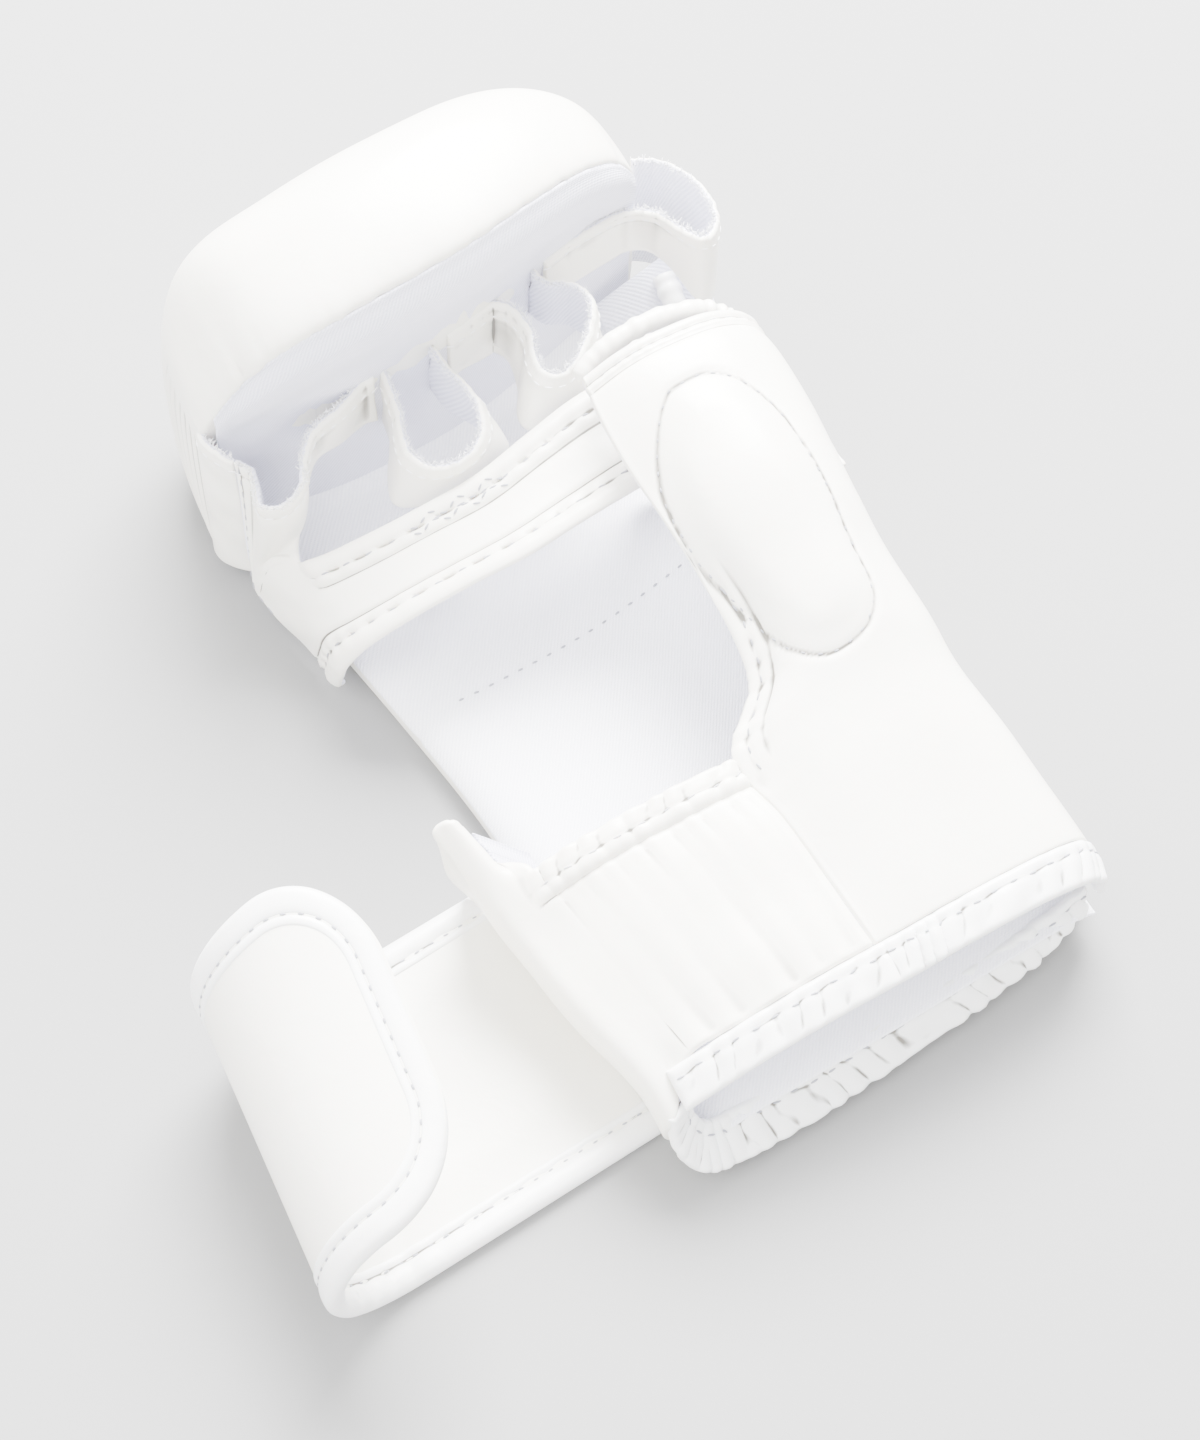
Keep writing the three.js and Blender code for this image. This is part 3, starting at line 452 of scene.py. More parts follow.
def twill_cloth(name, base, shade, pitch):
    """Brushed polyester twill: matt, cool white, with fine slanting ribs across its threads."""
    made, tree, shader = new_material(name, base, 0.92, IOR=1.45, Sheen_Weight=0.25,
                                      Sheen_Roughness=0.5)
    spot = add(tree, "ShaderNodeUVMap", uv_map="UVMap").outputs["UV"]
    turned = add(tree, "ShaderNodeMapping", {"Rotation": (0, 0, math.radians(38))}, {"Vector": spot})
    # ribs of the twill, of the named pitch in metres
    ribs = add(tree, "ShaderNodeTexWave", {"Scale": 0.314 / pitch, "Distortion": 0.6, "Detail": 1.0},
               {"Vector": turned.outputs["Vector"]}, wave_type="BANDS", bands_direction="X")
    threads = add(tree, "ShaderNodeTexWave", {"Scale": 0.45 / pitch}, {"Vector": spot},
                  wave_type="BANDS", bands_direction="Y")
    woven = add(tree, "ShaderNodeMath", {1: 0.6}, {0: threads.outputs["Fac"]}, operation="MULTIPLY")
    height = add(tree, "ShaderNodeMath", None, {0: ribs.outputs["Fac"], 1: woven.outputs["Value"]},
                 operation="ADD")
    tone = add(tree, "ShaderNodeMix", {"A": srgb(shade), "B": srgb(base)},
               {"Factor": ribs.outputs["Fac"]}, data_type="RGBA")
    tree.links.new(tone.outputs["Result"], shader.inputs["Base Color"])
    bump = add(tree, "ShaderNodeBump", {"Strength": 0.5, "Distance": 0.00025},
               {"Height": height.outputs["Value"]})
    tree.links.new(bump.outputs["Normal"], shader.inputs["Normal"])
    return made


def spun_thread(name, base):
    """Polyester thread: slightly shiny, twisted from plies about 0.4 mm across."""
    made, tree, shader = new_material(name, base, 0.55, IOR=1.5, Sheen_Weight=0.2)
    spot = add(tree, "ShaderNodeTexCoord").outputs["Object"]
    twist = add(tree, "ShaderNodeTexWave", {"Scale": 800.0}, {"Vector": spot}, bands_direction="DIAGONAL")
    bump = add(tree, "ShaderNodeBump", {"Strength": 0.3, "Distance": 0.0001},
               {"Height": twist.outputs["Fac"]})
    tree.links.new(bump.outputs["Normal"], shader.inputs["Normal"])
    return made


def studio_paper(name, base):
    """Matt background paper with a faint tooth."""
    made, tree, shader = new_material(name, base, 0.95, IOR=1.4)
    spot = add(tree, "ShaderNodeTexCoord").outputs["Object"]
    tooth = add(tree, "ShaderNodeTexNoise", {"Scale": 900.0, "Detail": 2.0}, {"Vector": spot})
    bump = add(tree, "ShaderNodeBump", {"Strength": 0.10, "Distance": 0.0002},
               {"Height": tooth.outputs["Fac"]})
    tree.links.new(bump.outputs["Normal"], shader.inputs["Normal"])
    return made


leather = coated_leather("coated_leather_white", "EAE8E1", "E6E3D9", 0.38, 0.12)
binding = coated_leather("coated_leather_binding", "ECECEC", "E9E9E7", 0.40, 0.16)
# Two copies of the same twill: the first is darker, painted shade for the loops' insides and the other
# linings, and the second is brighter, painted light for the hand lining, which the light falls on
twill = twill_cloth("polyester_twill_painted_shade", "E2E2EE", "CDCDDD", 0.0009)
twill_painted_lit = twill_cloth("polyester_twill_painted_lit", "F8F8FD", "EEEEF6", 0.0008)
# Painted shade: the real thread is white; the grey and pale grey threads stand in for the shade in the needle
# holes and the stitch grooves. The white thread is its own colour.
thread_grey_painted_shade = spun_thread("thread_grey_painted_shade", "8E8F97")
thread_white = spun_thread("thread_white", "EDEDEF")
thread_pale_painted_shade = spun_thread("thread_pale_painted_shade", "B4B4BA")
paper = studio_paper("studio_paper", "868686")


# Repeated details

def row_tree(name, size, result):
    """Empty tree with inputs for lines, their pitch, one size, a radius and a material."""
    tree = bpy.data.node_groups.new(name, "GeometryNodeTree")
    kinds = (("Lines", "Geometry"), ("Pitch", "Float"), (size, "Float"), ("Radius", "Float"),
             ("Material", "Material"))
    for label, kind in kinds:
        tree.interface.new_socket(label, in_out="INPUT", socket_type="NodeSocket" + kind)
    tree.interface.new_socket(result, in_out="OUTPUT", socket_type="NodeSocketGeometry")
    return tree


def stitch_tree():
    """Tree that lays stitches along each line of a mesh."""
    tree = row_tree("stitch_row", "Half Length", "Stitches")
    given = add(tree, "NodeGroupInput").outputs
    curve = add(tree, "GeometryNodeMeshToCurve", None, {"Mesh": given["Lines"]})
    spots = add(tree, "GeometryNodeCurveToPoints", None,
                {"Curve": curve.outputs["Curve"], "Length": given["Pitch"]}, mode="LENGTH")
    bead = add(tree, "GeometryNodeMeshUVSphere", {"Segments": 8, "Rings": 5, "Radius": 1.0})
    size = add(tree, "ShaderNodeCombineXYZ", None,
               {"X": given["Radius"], "Y": given["Radius"], "Z": given["Half Length"]})
    tilt = add(tree, "FunctionNodeRandomValue", {0: (-0.12, -0.12, 0.0), 1: (0.12, 0.12, 0.0), "Seed": 7},
               data_type="FLOAT_VECTOR")
    turn = add(tree, "FunctionNodeRotateRotation", None,
               {"Rotation": spots.outputs["Rotation"], "Rotate By": tilt.outputs["Value"]},
               rotation_space="LOCAL")
    laid = add(tree, "GeometryNodeInstanceOnPoints", None,
               {"Points": spots.outputs["Points"], "Instance": bead.outputs["Mesh"],
                "Rotation": turn.outputs["Rotation"], "Scale": size.outputs["Vector"]})
    real = add(tree, "GeometryNodeRealizeInstances", None, {"Geometry": laid.outputs["Instances"]})
    done = add(tree, "GeometryNodeSetMaterial", None,
               {"Geometry": real.outputs["Geometry"], "Material": given["Material"]})
    add(tree, "NodeGroupOutput", None, {"Stitches": done.outputs["Geometry"]})
    return tree


def fray_tree():
    """Tree that sets loose fibres along each line of a mesh, as a cut cloth edge has."""
    tree = row_tree("frayed_edge", "Length", "Fibres")
    given = add(tree, "NodeGroupInput").outputs
    curve = add(tree, "GeometryNodeMeshToCurve", None, {"Mesh": given["Lines"]})
    spots = add(tree, "GeometryNodeCurveToPoints", None,
                {"Curve": curve.outputs["Curve"], "Length": given["Pitch"]}, mode="LENGTH")
    shift = add(tree, "FunctionNodeRandomValue", {0: (-0.0004, -0.0004, -0.0004),
                1: (0.0004, 0.0004, 0.0005), "Seed": 3}, data_type="FLOAT_VECTOR")
    moved = add(tree, "GeometryNodeSetPosition", None,
                {"Geometry": spots.outputs["Points"], "Offset": shift.outputs["Value"]})
    fibre = add(tree, "GeometryNodeMeshCone", {"Vertices": 5, "Side Segments": 2, "Radius Top": 0.35,
                "Radius Bottom": 1.0, "Depth": 1.0})
    long = add(tree, "FunctionNodeRandomValue", {2: 0.5, 3: 1.3, "Seed": 5}, data_type="FLOAT")
    reach = add(tree, "ShaderNodeMath", None, {0: given["Length"], 1: long.outputs[1]}, operation="MULTIPLY")
    size = add(tree, "ShaderNodeCombineXYZ", None,
               {"X": given["Radius"], "Y": given["Radius"], "Z": reach.outputs["Value"]})
    lean = add(tree, "FunctionNodeRandomValue", {0: (-0.9, -0.9, -3.1), 1: (0.9, 0.9, 3.1), "Seed": 11},
               data_type="FLOAT_VECTOR")
    laid = add(tree, "GeometryNodeInstanceOnPoints", None,
               {"Points": moved.outputs["Geometry"], "Instance": fibre.outputs["Mesh"],
                "Rotation": lean.outputs["Value"], "Scale": size.outputs["Vector"]})
    real = add(tree, "GeometryNodeRealizeInstances", None, {"Geometry": laid.outputs["Instances"]})
    done = add(tree, "GeometryNodeSetMaterial", None,
               {"Geometry": real.outputs["Geometry"], "Material": given["Material"]})
    add(tree, "NodeGroupOutput", None, {"Fibres": done.outputs["Geometry"]})
    return tree


def grown(name, lines, tree, inputs):
    """Plain mesh of what a tree makes along lines of points in millimetres."""
    points = np.concatenate(lines) * MM
    edges = []
    start = 0
    for line in lines:
        edges += [(start + k, start + k + 1) for k in range(len(line) - 1)]
        start += len(line)
    mesh = bpy.data.meshes.new(name + "_lines")
    mesh.from_pydata(points.tolist(), edges, [])
    source = bpy.data.objects.new(name + "_lines", mesh)
    bpy.context.collection.objects.link(source)
    modifier = source.modifiers.new("grow", "NODES")
    modifier.node_group = tree
    for socket in tree.interface.items_tree:
        if socket.in_out == "INPUT" and socket.name in inputs:
            modifier[socket.identifier] = inputs[socket.name]
    graph = bpy.context.evaluated_depsgraph_get()
    result = bpy.data.meshes.new_from_object(source.evaluated_get(graph))
    source.modifiers.remove(modifier)
    bpy.data.objects.remove(source)
    result.polygons.foreach_set("use_smooth", [True] * len(result.polygons))
    made = bpy.data.objects.new(name, result)
    bpy.context.collection.objects.link(made)
    return made


STITCH_TREE = stitch_tree()
FRAY_TREE = fray_tree()


def stitches(name, lines, pitch=STITCH_LONG, length=2.0, radius=THREAD, thread=None):
    """Row of stitches along each line of points."""
    # unless another thread is given, the stitches take the grey one, whose colour is painted shade
    made = grown(name, lines, STITCH_TREE, {
        "Pitch": pitch * MM, "Half Length": length / 2 * MM, "Radius": radius * MM,
        "Material": thread or thread_grey_painted_shade})
    finish(made, "binding")


def frayed(name, lines, length=1.3):
    """Loose white fibres along each line of points."""
    made = grown(name, lines, FRAY_TREE, {
        "Pitch": FIBRE_PITCH * MM, "Length": length * MM, "Radius": FIBRE * MM,
        "Material": thread_white})
    finish(made, "textile")


def finish(made, slot, *nodes):
    """A piece rides on the glove and stands for its solids, which are hidden. Its slot, the finish, is not
    used.
    """
    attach(made, "root")
    if nodes:
        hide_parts(*nodes)


def finish_cloth(sheet, made, *nodes):
    """A lining rides on the glove and stands for its solids, as any piece does; its sheet is not used."""
    finish(made, "textile", *nodes)


# Knuckle pad. Each row is a section across it: its place along the pad, how far its inner
# face stands forward of the seam line, and its depth, height and lift off the floor.
PAD = table("x set deep tall lift",
            (-0.402, 0.085, 0.015, 0.560, 0.050),
            (-0.400, 0.075, 0.20, 0.580, 0.045),
            (-0.378, 0.040, 0.56, 0.660, 0.025),
            (-0.318, -0.01, 0.82, 0.80, 0.005),
            (-0.235, -0.07, 0.94, 0.91, 0),
            (-0.095, -0.11, 0.99, 0.975, 0),
            (0.110, -0.09, 1.00, 1.00, 0),
            (0.290, 0.00, 0.93, 0.98, 0),
            (0.430, 0.10, 0.78, 0.92, 0),
            (0.530, 0.18, 0.58, 0.82, 0.03),
            (0.590, 0.24, 0.36, 0.66, 0.12),
            (0.606, 0.30, 0.10, 0.52, 0.26))
PAD_LEAN = 0.11 * PAD_DEPTH
PAD_LEAN_RISE = 0.38 * PAD_HEIGHT
PAD_EDGE = 0.055 * PAD_HEIGHT
PAD_SECTIONS = 190       # sections of the pad's mesh
PAD_AROUND = 400         # points round a section, from the seam over the crest to the heel
PAD_NOSE = 150           # the one of them about the nose
FACE_ROWS = 26           # points across the inner face, with both its edges
FACE_HOLLOW = 1.6        # how far the inner face is drawn in behind its lining
RIB_PITCH = 3.9          # flex ribs on the pad's end
RIB_DEPTH = 1.3


def pad_place(x):
    """Share of the way through the pad's rows at x."""
    t = np.linspace(0, 1, 400)
    return np.interp(x / PAD_WIDTH, np.maximum.accumulate(column(PAD, "x", t)), t)


def pad_seam_z(t):
    """Height of the seam between the pad's leather and its lining."""
    return column(PAD, "tall", t) * PAD_HEIGHT - PAD_EDGE * column(PAD, "deep", t)


def pad_inner_y(t, z):
    """The pad's inner face at a height."""
    lean = PAD_LEAN * np.minimum(column(PAD, "deep", t) * 1.4, 1)
    under = np.clip((pad_seam_z(t) - z) / PAD_LEAN_RISE, 0, 1)
    return HAND_LENGTH + column(PAD, "set", t) * PAD_DEPTH + lean * under


def pad_outer(t):
    """Dense section of the pad's leather from the seam over the crest to the heel."""
    seam_z = pad_seam_z(t)
    seam_y = pad_inner_y(t, seam_z)
    depth = column(PAD, "deep", t) * PAD_DEPTH
    crest = column(PAD, "tall", t) * PAD_HEIGHT
    floor = column(PAD, "lift", t) * PAD_HEIGHT
    nose_y = seam_y + depth
    nose_z = mix(floor, crest, 0.44)
    top = seam_y + depth * 0.40
    heel = pad_inner_y(t, floor)
    under = np.maximum(seam_y + depth * 0.42, heel + 0.3)
    turn = np.linspace(0, np.pi / 2, 40)
    first = np.stack([top - (top - seam_y) * np.cos(turn), seam_z + (crest - seam_z) * np.sin(turn)], -1)
    second = np.stack([top + (nose_y - top) * np.sin(turn) ** 0.92,
                       nose_z + (crest - nose_z) * np.cos(turn) ** 0.92], -1)
    third = np.stack([under + (nose_y - under) * np.cos(turn) ** 0.9,
                      nose_z - (nose_z - floor) * np.sin(turn) ** 0.9], -1)
    fourth = np.stack([mix(under, heel, turn / turn[-1]), np.full(40, floor)], -1)
    return np.concatenate([first, second[1:], third[1:], fourth[1:]])


def distances(line):
    """Distance along a line to each of its points."""
    return np.append(0, np.cumsum(np.linalg.norm(np.diff(line, axis=0), axis=1)))


def resampled(line, count):
    """Points evenly along a line."""
    far = distances(line)
    at = np.linspace(0, far[-1], count)
    return np.stack([np.interp(at, far, line[:, k]) for k in range(line.shape[1])], -1)


def make_knuckle_pad():
    stations = 0.5 - 0.5 * np.cos(np.linspace(0, np.pi, PAD_SECTIONS))
    outer = np.stack([resampled(pad_outer(t), PAD_AROUND) for t in stations])
    x = column(PAD, "x", stations) * PAD_WIDTH
    points = np.concatenate([np.repeat(x[:, None, None], PAD_AROUND, axis=1), outer], axis=-1)
    normal = normals_of(points)
    s = np.linspace(0, 1, PAD_AROUND)[None, :]
    deep = column(PAD, "deep", stations)[:, None]
    girth = np.linalg.norm(np.diff(points, axis=1), axis=2).sum(axis=1)[:, None]
    from_seam = s * girth
    nose = points[:, PAD_NOSE]
    from_end = distances(nose)[:, None]
    ribs = np.abs(np.sin(np.pi * from_end / RIB_PITCH)) ** 0.7
    below = points[..., 2].max(axis=1, keepdims=True) - points[..., 2]
    ribbed = step_up(s, 0.03, 0.08) * (1 - step_up(s, 0.90, 0.95)) * step_up(deep, 0.02, 0.15)
    fade = 1 - step_up(from_end, 24, 38)
    swell = (ribs - 1) * RIB_DEPTH * ribbed * fade * step_up(below, 4, 14)
    pucker = 0.35 * waves(x[:, None], 5.5, 4) * np.exp(-from_seam / 5) * step_up(deep, 0.2, 0.6)
    swell = swell + pucker + 0.45 * swells(points, 42, 8) * step_up(deep, 0.2, 0.8)
    points = points + normal * swell[..., None]
    face = np.stack([resampled(np.array([ring[-1], ring[0]]), FACE_ROWS)[1:-1] for ring in points])
    arch = np.sin(np.linspace(0, np.pi, FACE_ROWS)[1:-1])
    face[..., 1] += FACE_HOLLOW * arch * step_up(deep, 0.1, 0.5)
    made = loft("knuckle_pad_leather", np.concatenate([points, face], axis=1), leather)
    finish(made, "leather", "knuckle_pad")


def make_pad_lining():
    def surface(u, v):
        x = mix(-0.378, 0.585, u) * PAD_WIDTH
        t = pad_place(x)
        z = mix(BACK_THICKNESS, pad_seam_z(t) - 0.4, v)
        tuck = 0.9 - 1.1 * step_up(v, 0.93, 1.0)
        return np.stack([x, pad_inner_y(t, z) - TEXTILE / 2 - tuck, z], -1)

    def relief(a, b, points):
        left = step_up(-points[..., 0], 0.05 * PAD_WIDTH, 0.3 * PAD_WIDTH)
        fold = 0.9 * swells(points, 26, 21) * left + 0.35 * swells(points, 18, 22)
        from_seam = b.max() - b
        cushion = 2.4 * step_up(from_seam, 0, 8) * (1 - step_up(from_seam, 12, 30))
        ends = step_up(a, 0, 12) * step_up(a.max() - a, 0, 12)
        return (fold * step_up(points[..., 2], BACK_THICKNESS, 25) * hump(b / b.max(), 0.5, 0.5)
                + cushion * ends)

    sheet = Sheet(surface, TEXTILE, relief)
    made = sheet.build("pad_lining_twill", twill)
    finish_cloth(sheet, made, "pad_lining")


# Back of the hand

BACK = table("left right",
             (-0.305, 0.835), (-0.325, 0.80), (-0.315, 0.775), (-0.320, 0.765),
             (-0.355, 0.77), (-0.400, 0.78), (-0.440, 0.785))
BACK_END = 0.945 * WRIST_LENGTH
BACK_SKEW = 0.06 * WRIST_LENGTH
BACK_ACROSS = 110        # size across for its rounded rim and its grain
BACK_ALONG = 200         # size along for the same


def back_surface(u, v):
    """Upper face of the back padding, from its wrist end to the knuckle pad."""
    x = mix(column(BACK, "left", v), column(BACK, "right", v), u) * HAND_WIDTH
    front = pad_inner_y(pad_place(x), np.zeros_like(x)) - 0.6
    y = mix(-BACK_END + BACK_SKEW * u ** 1.5, front, v)
    edge = 1 - np.abs(2 * u - 1) ** 9
    z = BACK_THICKNESS * (0.35 + 0.65 * edge ** 0.6)
    return np.stack([x, y, z], -1)


def make_back_pad():
    u, v = np.meshgrid(np.linspace(0, 1, 120), np.linspace(0, 1, 160), indexing="ij")
    top = back_surface(u, v)
    rim = np.minimum(np.minimum(u, 1 - u) * BACK_ACROSS, np.minimum(v, 1 - v) * BACK_ALONG)
    low = top.copy()
    low[..., 2] = np.where(rim < 4, 2.2 * (1 - np.clip(rim / 4, 0, 1)) ** 2, 0)
    top[..., 2] = np.maximum(top[..., 2] - 0.4 * np.exp(-rim / 2), low[..., 2] + 0.2)
    edge = (rim < 1e-4)[..., None]
    middle = (top + low) / 2
    grids = (np.where(edge, middle, top), np.where(edge, middle, low), rim)
    across = np.linspace(0, BACK_ACROSS, 120)
    along = np.linspace(0, BACK_ALONG, 160)
    made = outward(two_sided("back_pad_leather", across, along, grids, 1, leather))
    finish(made, "leather", "back_pad")


def make_hand_lining():
    def surface(u, v):
        points = back_surface(mix(0.002, 0.99, u), mix(-0.028, 1.0, v))
        points[..., 2] += 0.3 + TEXTILE / 2 + 5.0 * step_up(v, 0.965, 1.0) ** 2
        return points

    def relief(a, b, points):
        side = hump(points[..., 0], 20, 62)
        return 0.35 * swells(points, 45, 31) * side + 0.8 * side - 0.4 * line_pull(points)

    def line_pull(points):
        return groove(points[..., 1] - 0.05 * points[..., 0], 31.5, 1.6)

    sheet = Sheet(surface, TEXTILE, relief, step=1.4)
    # the hand lining takes the brighter twill, whose colour is painted light
    made = sheet.build("hand_lining_twill", twill_painted_lit)
    finish_cloth(sheet, made, "hand_lining")
    x = np.linspace(-24, 62, 60)
    a = np.interp(x, [-38, 78], [0, sheet.length])
    b = np.full_like(a, sheet.width * 0.654)
    stitches("hand_lining_stitches", [sheet.on(a, b, 0.1)], pitch=STITCH_SHORT, length=1.5)


# Finger loops. Each row is a place along a ribbon's rim: x across the hand, y along it, the
# heights of the rim and the lower edge, and how far the lower edge shifts towards the thumb
# and spreads towards the wrist.
LOOP = "x y rim low shift spread"
GUSSET = table(LOOP,
               (-0.495, 1.075, 0.560, 0.045, 0, 0),
               (-0.513, 1.045, 0.562, 0.045, 0, 0),
               (-0.512, 1.010, 0.560, 0.045, 0, 0),
               (-0.500, 0.975, 0.560, 0.050, 0.010, 0.005),
               (-0.478, 0.940, 0.550, 0.06, 0.020, 0.01))
PINKY = table(LOOP,
              (-0.478, 0.940, 0.550, 0.06, 0.020, 0.010),
              (-0.449, 0.915, 0.535, 0.06, 0, 0.015),
              (-0.455, 0.878, 0.510, 0.07, 0, 0.020),
              (-0.466, 0.842, 0.490, 0.10, 0.010, 0.020),
              (-0.442, 0.814, 0.490, 0.15, 0.005, 0.015),
              (-0.400, 0.806, 0.500, 0.18, 0.005, 0.010),
              (-0.357, 0.825, 0.520, 0.43, 0.005, 0.005),
              (-0.318, 0.880, 0.540, 0.45, 0, 0),
              (-0.270, 0.920, 0.560, 0.44, 0, 0),
              (-0.184, 0.943, 0.570, 0.42, 0, 0),
              (-0.076, 0.990, 0.580, 0.40, 0, 0))
RING = table(LOOP,
             (-0.043, 0.990, 0.580, 0.36, 0, 0),
             (-0.056, 0.915, 0.570, 0.36, -0.010, 0),
             (-0.065, 0.865, 0.560, 0.36, -0.030, 0),
             (-0.085, 0.810, 0.545, 0.37, -0.050, 0.020),
             (-0.092, 0.755, 0.535, 0.38, -0.060, 0.020),
             (-0.062, 0.700, 0.530, 0.39, -0.045, 0),
             (-0.010, 0.675, 0.540, 0.40, -0.010, -0.010),
             (0.040, 0.682, 0.550, 0.41, 0.030, -0.010),
             (0.084, 0.720, 0.560, 0.42, 0.060, 0.005),
             (0.106, 0.780, 0.575, 0.42, 0.045, 0.020),
             (0.104, 0.845, 0.580, 0.41, 0.020, 0.020),
             (0.092, 0.915, 0.580, 0.40, 0.005, 0),
             (0.090, 1.000, 0.580, 0.39, 0, 0))
MIDDLE = table(LOOP,
               (0.136, 1.010, 0.590, 0.40, 0, 0),
               (0.200, 1.010, 0.595, 0.40, 0, 0),
               (0.262, 1.020, 0.600, 0.40, 0, 0),
               (0.312, 0.975, 0.600, 0.41, -0.020, 0.020),
               (0.325, 0.905, 0.580, 0.42, -0.060, 0.050),
               (0.303, 0.845, 0.570, 0.43, -0.080, 0.070),
               (0.298, 0.785, 0.570, 0.44, -0.070, 0.060),
               (0.335, 0.755, 0.575, 0.45, -0.030, 0.040),
               (0.395, 0.780, 0.590, 0.45, 0.010, 0.040),
               (0.455, 0.835, 0.600, 0.44, 0.020, 0.030),
               (0.492, 0.900, 0.600, 0.43, 0.010, 0.010),
               (0.475, 0.962, 0.600, 0.42, 0, 0),
               (0.425, 1.000, 0.600, 0.42, 0, 0),
               (0.408, 1.060, 0.600, 0.42, 0, 0))
INDEX = table(LOOP,
              (0.447, 1.070, 0.600, 0.43, 0, 0),
              (0.540, 1.079, 0.600, 0.43, 0, 0),
              (0.640, 1.097, 0.590, 0.43, 0, 0),
              (0.710, 1.100, 0.580, 0.43, 0, 0),
              (0.775, 1.068, 0.570, 0.41, 0, 0),
              (0.820, 0.995, 0.550, 0.36, -0.010, 0.010),
              (0.853, 0.961, 0.540, 0.30, -0.010, 0.020),
              (0.895, 0.978, 0.530, 0.22, -0.010, 0.010),
              (0.927, 1.025, 0.530, 0.16, -0.010, 0),
              (0.936, 1.110, 0.530, 0.13, -0.020, 0),
              (0.912, 1.190, 0.530, 0.12, -0.020, 0),
              (0.870, 1.235, 0.540, 0.12, -0.010, 0),
              (0.812, 1.250, 0.560, 0.14, 0, 0))
LINING_OUT = 1.9    # from the pad's inner face to a ribbon that lies on its lining


def ribbon_surface(rows):
    """Surface of a loop's ribbon from its rim down, kept off the pad's lining."""
    def surface(u, v):
        x = column(rows, "x", u) * HAND_WIDTH
        rim = column(rows, "rim", u) * HAND_HEIGHT
        low = column(rows, "low", u) * HAND_HEIGHT
        face = pad_inner_y(pad_place(x), rim) - LINING_OUT
        free = np.where((x > 0.56 * PAD_WIDTH) | (x < -0.38 * PAD_WIDTH), 999, face)
        y = np.minimum(column(rows, "y", u) * HAND_LENGTH, free)
        shift = column(rows, "shift", u) * HAND_WIDTH
        spread = column(rows, "spread", u) * HAND_LENGTH
        return np.stack([x + shift * v, y - spread * v, mix(rim, low, v)], -1)
    return surface


def make_ribbon(name, rows, node, seed, first=0.0):
    """A loop's ribbon from a place along its rows, with its rim's line and stitch line."""
    whole = ribbon_surface(rows)

    def surface(u, v):
        return whole(mix(first, 1, u), v)

    def relief(a, b, points):
        soft = 0.45 * swells(points, 16, seed) * step_up(b, 1, 8)
        rim_pull = -0.35 * groove(b, LOOP_STITCH, 0.7)
        ruffle = 0.25 * waves(a, 4.0, seed + 5) * np.exp(-b / 2.5)
        return soft + rim_pull + ruffle

    sheet = Sheet(surface, 2.0, relief, step=0.8)
    made = sheet.build(name, twill, leather)
    finish(made, "leather", node)
    a = np.linspace(0.5, sheet.length - 0.5, int(sheet.length / 0.5))
    rim = sheet.on(a, np.full_like(a, 0.2), 0.1)
    row = sheet.on(a, np.full_like(a, LOOP_STITCH), 0.0, back=True)
    return rim, row


def make_finger_loops(little_rim):
    rims = [little_rim]
    rows = []
    pieces = (("side_gusset_strip", GUSSET, "side_gusset", 41, 0),
              ("little_loop_ribbon", PINKY, "finger_loop_pinky", 42, WALL_END - 0.01),
              ("ring_loop_ribbon", RING, "finger_loop_ring", 43, 0),
              ("middle_loop_ribbon", MIDDLE, "finger_loop_middle", 44, 0),
              ("index_loop_ribbon", INDEX, "finger_loop_index", 45, 0))
    for name, shape, node, seed, first in pieces:
        rim, row = make_ribbon(name, shape, node, seed, first)
        rims.append(rim)
        rows.append(row)
    frayed("loop_rim_fibres", rims)
    stitches("loop_rim_stitches", rows, pitch=3.4, length=2.2, radius=0.22, thread=thread_white)


# Bar across the palm
BAR = table("x z low high lean",
            (-0.426, 0.055, 0.530, 0.860, 0.060),
            (-0.428, 0.14, 0.500, 0.845, 0.048),
            (-0.420, 0.22, 0.476, 0.825, 0.030),
            (-0.370, 0.30, 0.452, 0.742, 0.010),
            (-0.265, 0.375, 0.425, 0.690, 0),
            (-0.120, 0.43, 0.405, 0.662, 0),
            (0.030, 0.465, 0.390, 0.655, 0),
            (0.180, 0.49, 0.395, 0.680, 0),
            (0.310, 0.505, 0.400, 0.705, 0),
            (0.408, 0.51, 0.405, 0.715, 0))
BAR_BODY = 0.40      # share of the surface along u that is the bar, the rest is the wall
BAR_FOLD = 0.300     # share along v where the wall's fold and the upper hem begin
WALL_END = 0.655     # place on the little finger's rim where the wall folds back


def bar_surface(u, v):
    """The bar from its lower edge to its upper one, then up the little finger's wall."""
    body = np.minimum(u / BAR_BODY, 1)
    up = np.clip((u - BAR_BODY) / (1 - BAR_BODY), 0, 1)[..., None]
    low = column(BAR, "low", v)
    high = column(BAR, "high", v)
    lean = column(BAR, "lean", v)
    flat = place(column(BAR, "x", v) - lean * body, mix(low, high, body), column(BAR, "z", v))
    rim = ribbon_surface(PINKY)(np.clip(v / BAR_FOLD, 0, 1.5) * WALL_END, np.zeros_like(v))
    start = place(-0.5 * lean, 0.5 * (high - low), 0.02)
    end = place(0 * v, 0.10 + 0 * v, 0.42 + 0 * v)
    return np.where(up > 0, hermite(up, flat, start, rim, end), flat)


def turned_hem(distance, along, pitch, height=0.9, width=HEM, stitch=HEM_STITCH):
    """Rise of a turned hem by the distance from its edge, with its stitch line pulled in."""
    raised = height * (1 - step_up(distance, width - 0.5, width + 0.4))
    roll = 0.7 * height * hump(distance, stitch * 0.5, stitch * 0.6)
    pull = 0.75 * height * groove(distance, stitch, 0.8)
    hole = 0.3 * height * groove(distance, stitch, 1.2) * np.cos(2 * np.pi * along / pitch)
    fold = 0.55 * height * groove(distance, width + 0.5, 0.7)
    return raised + roll - pull + hole - fold


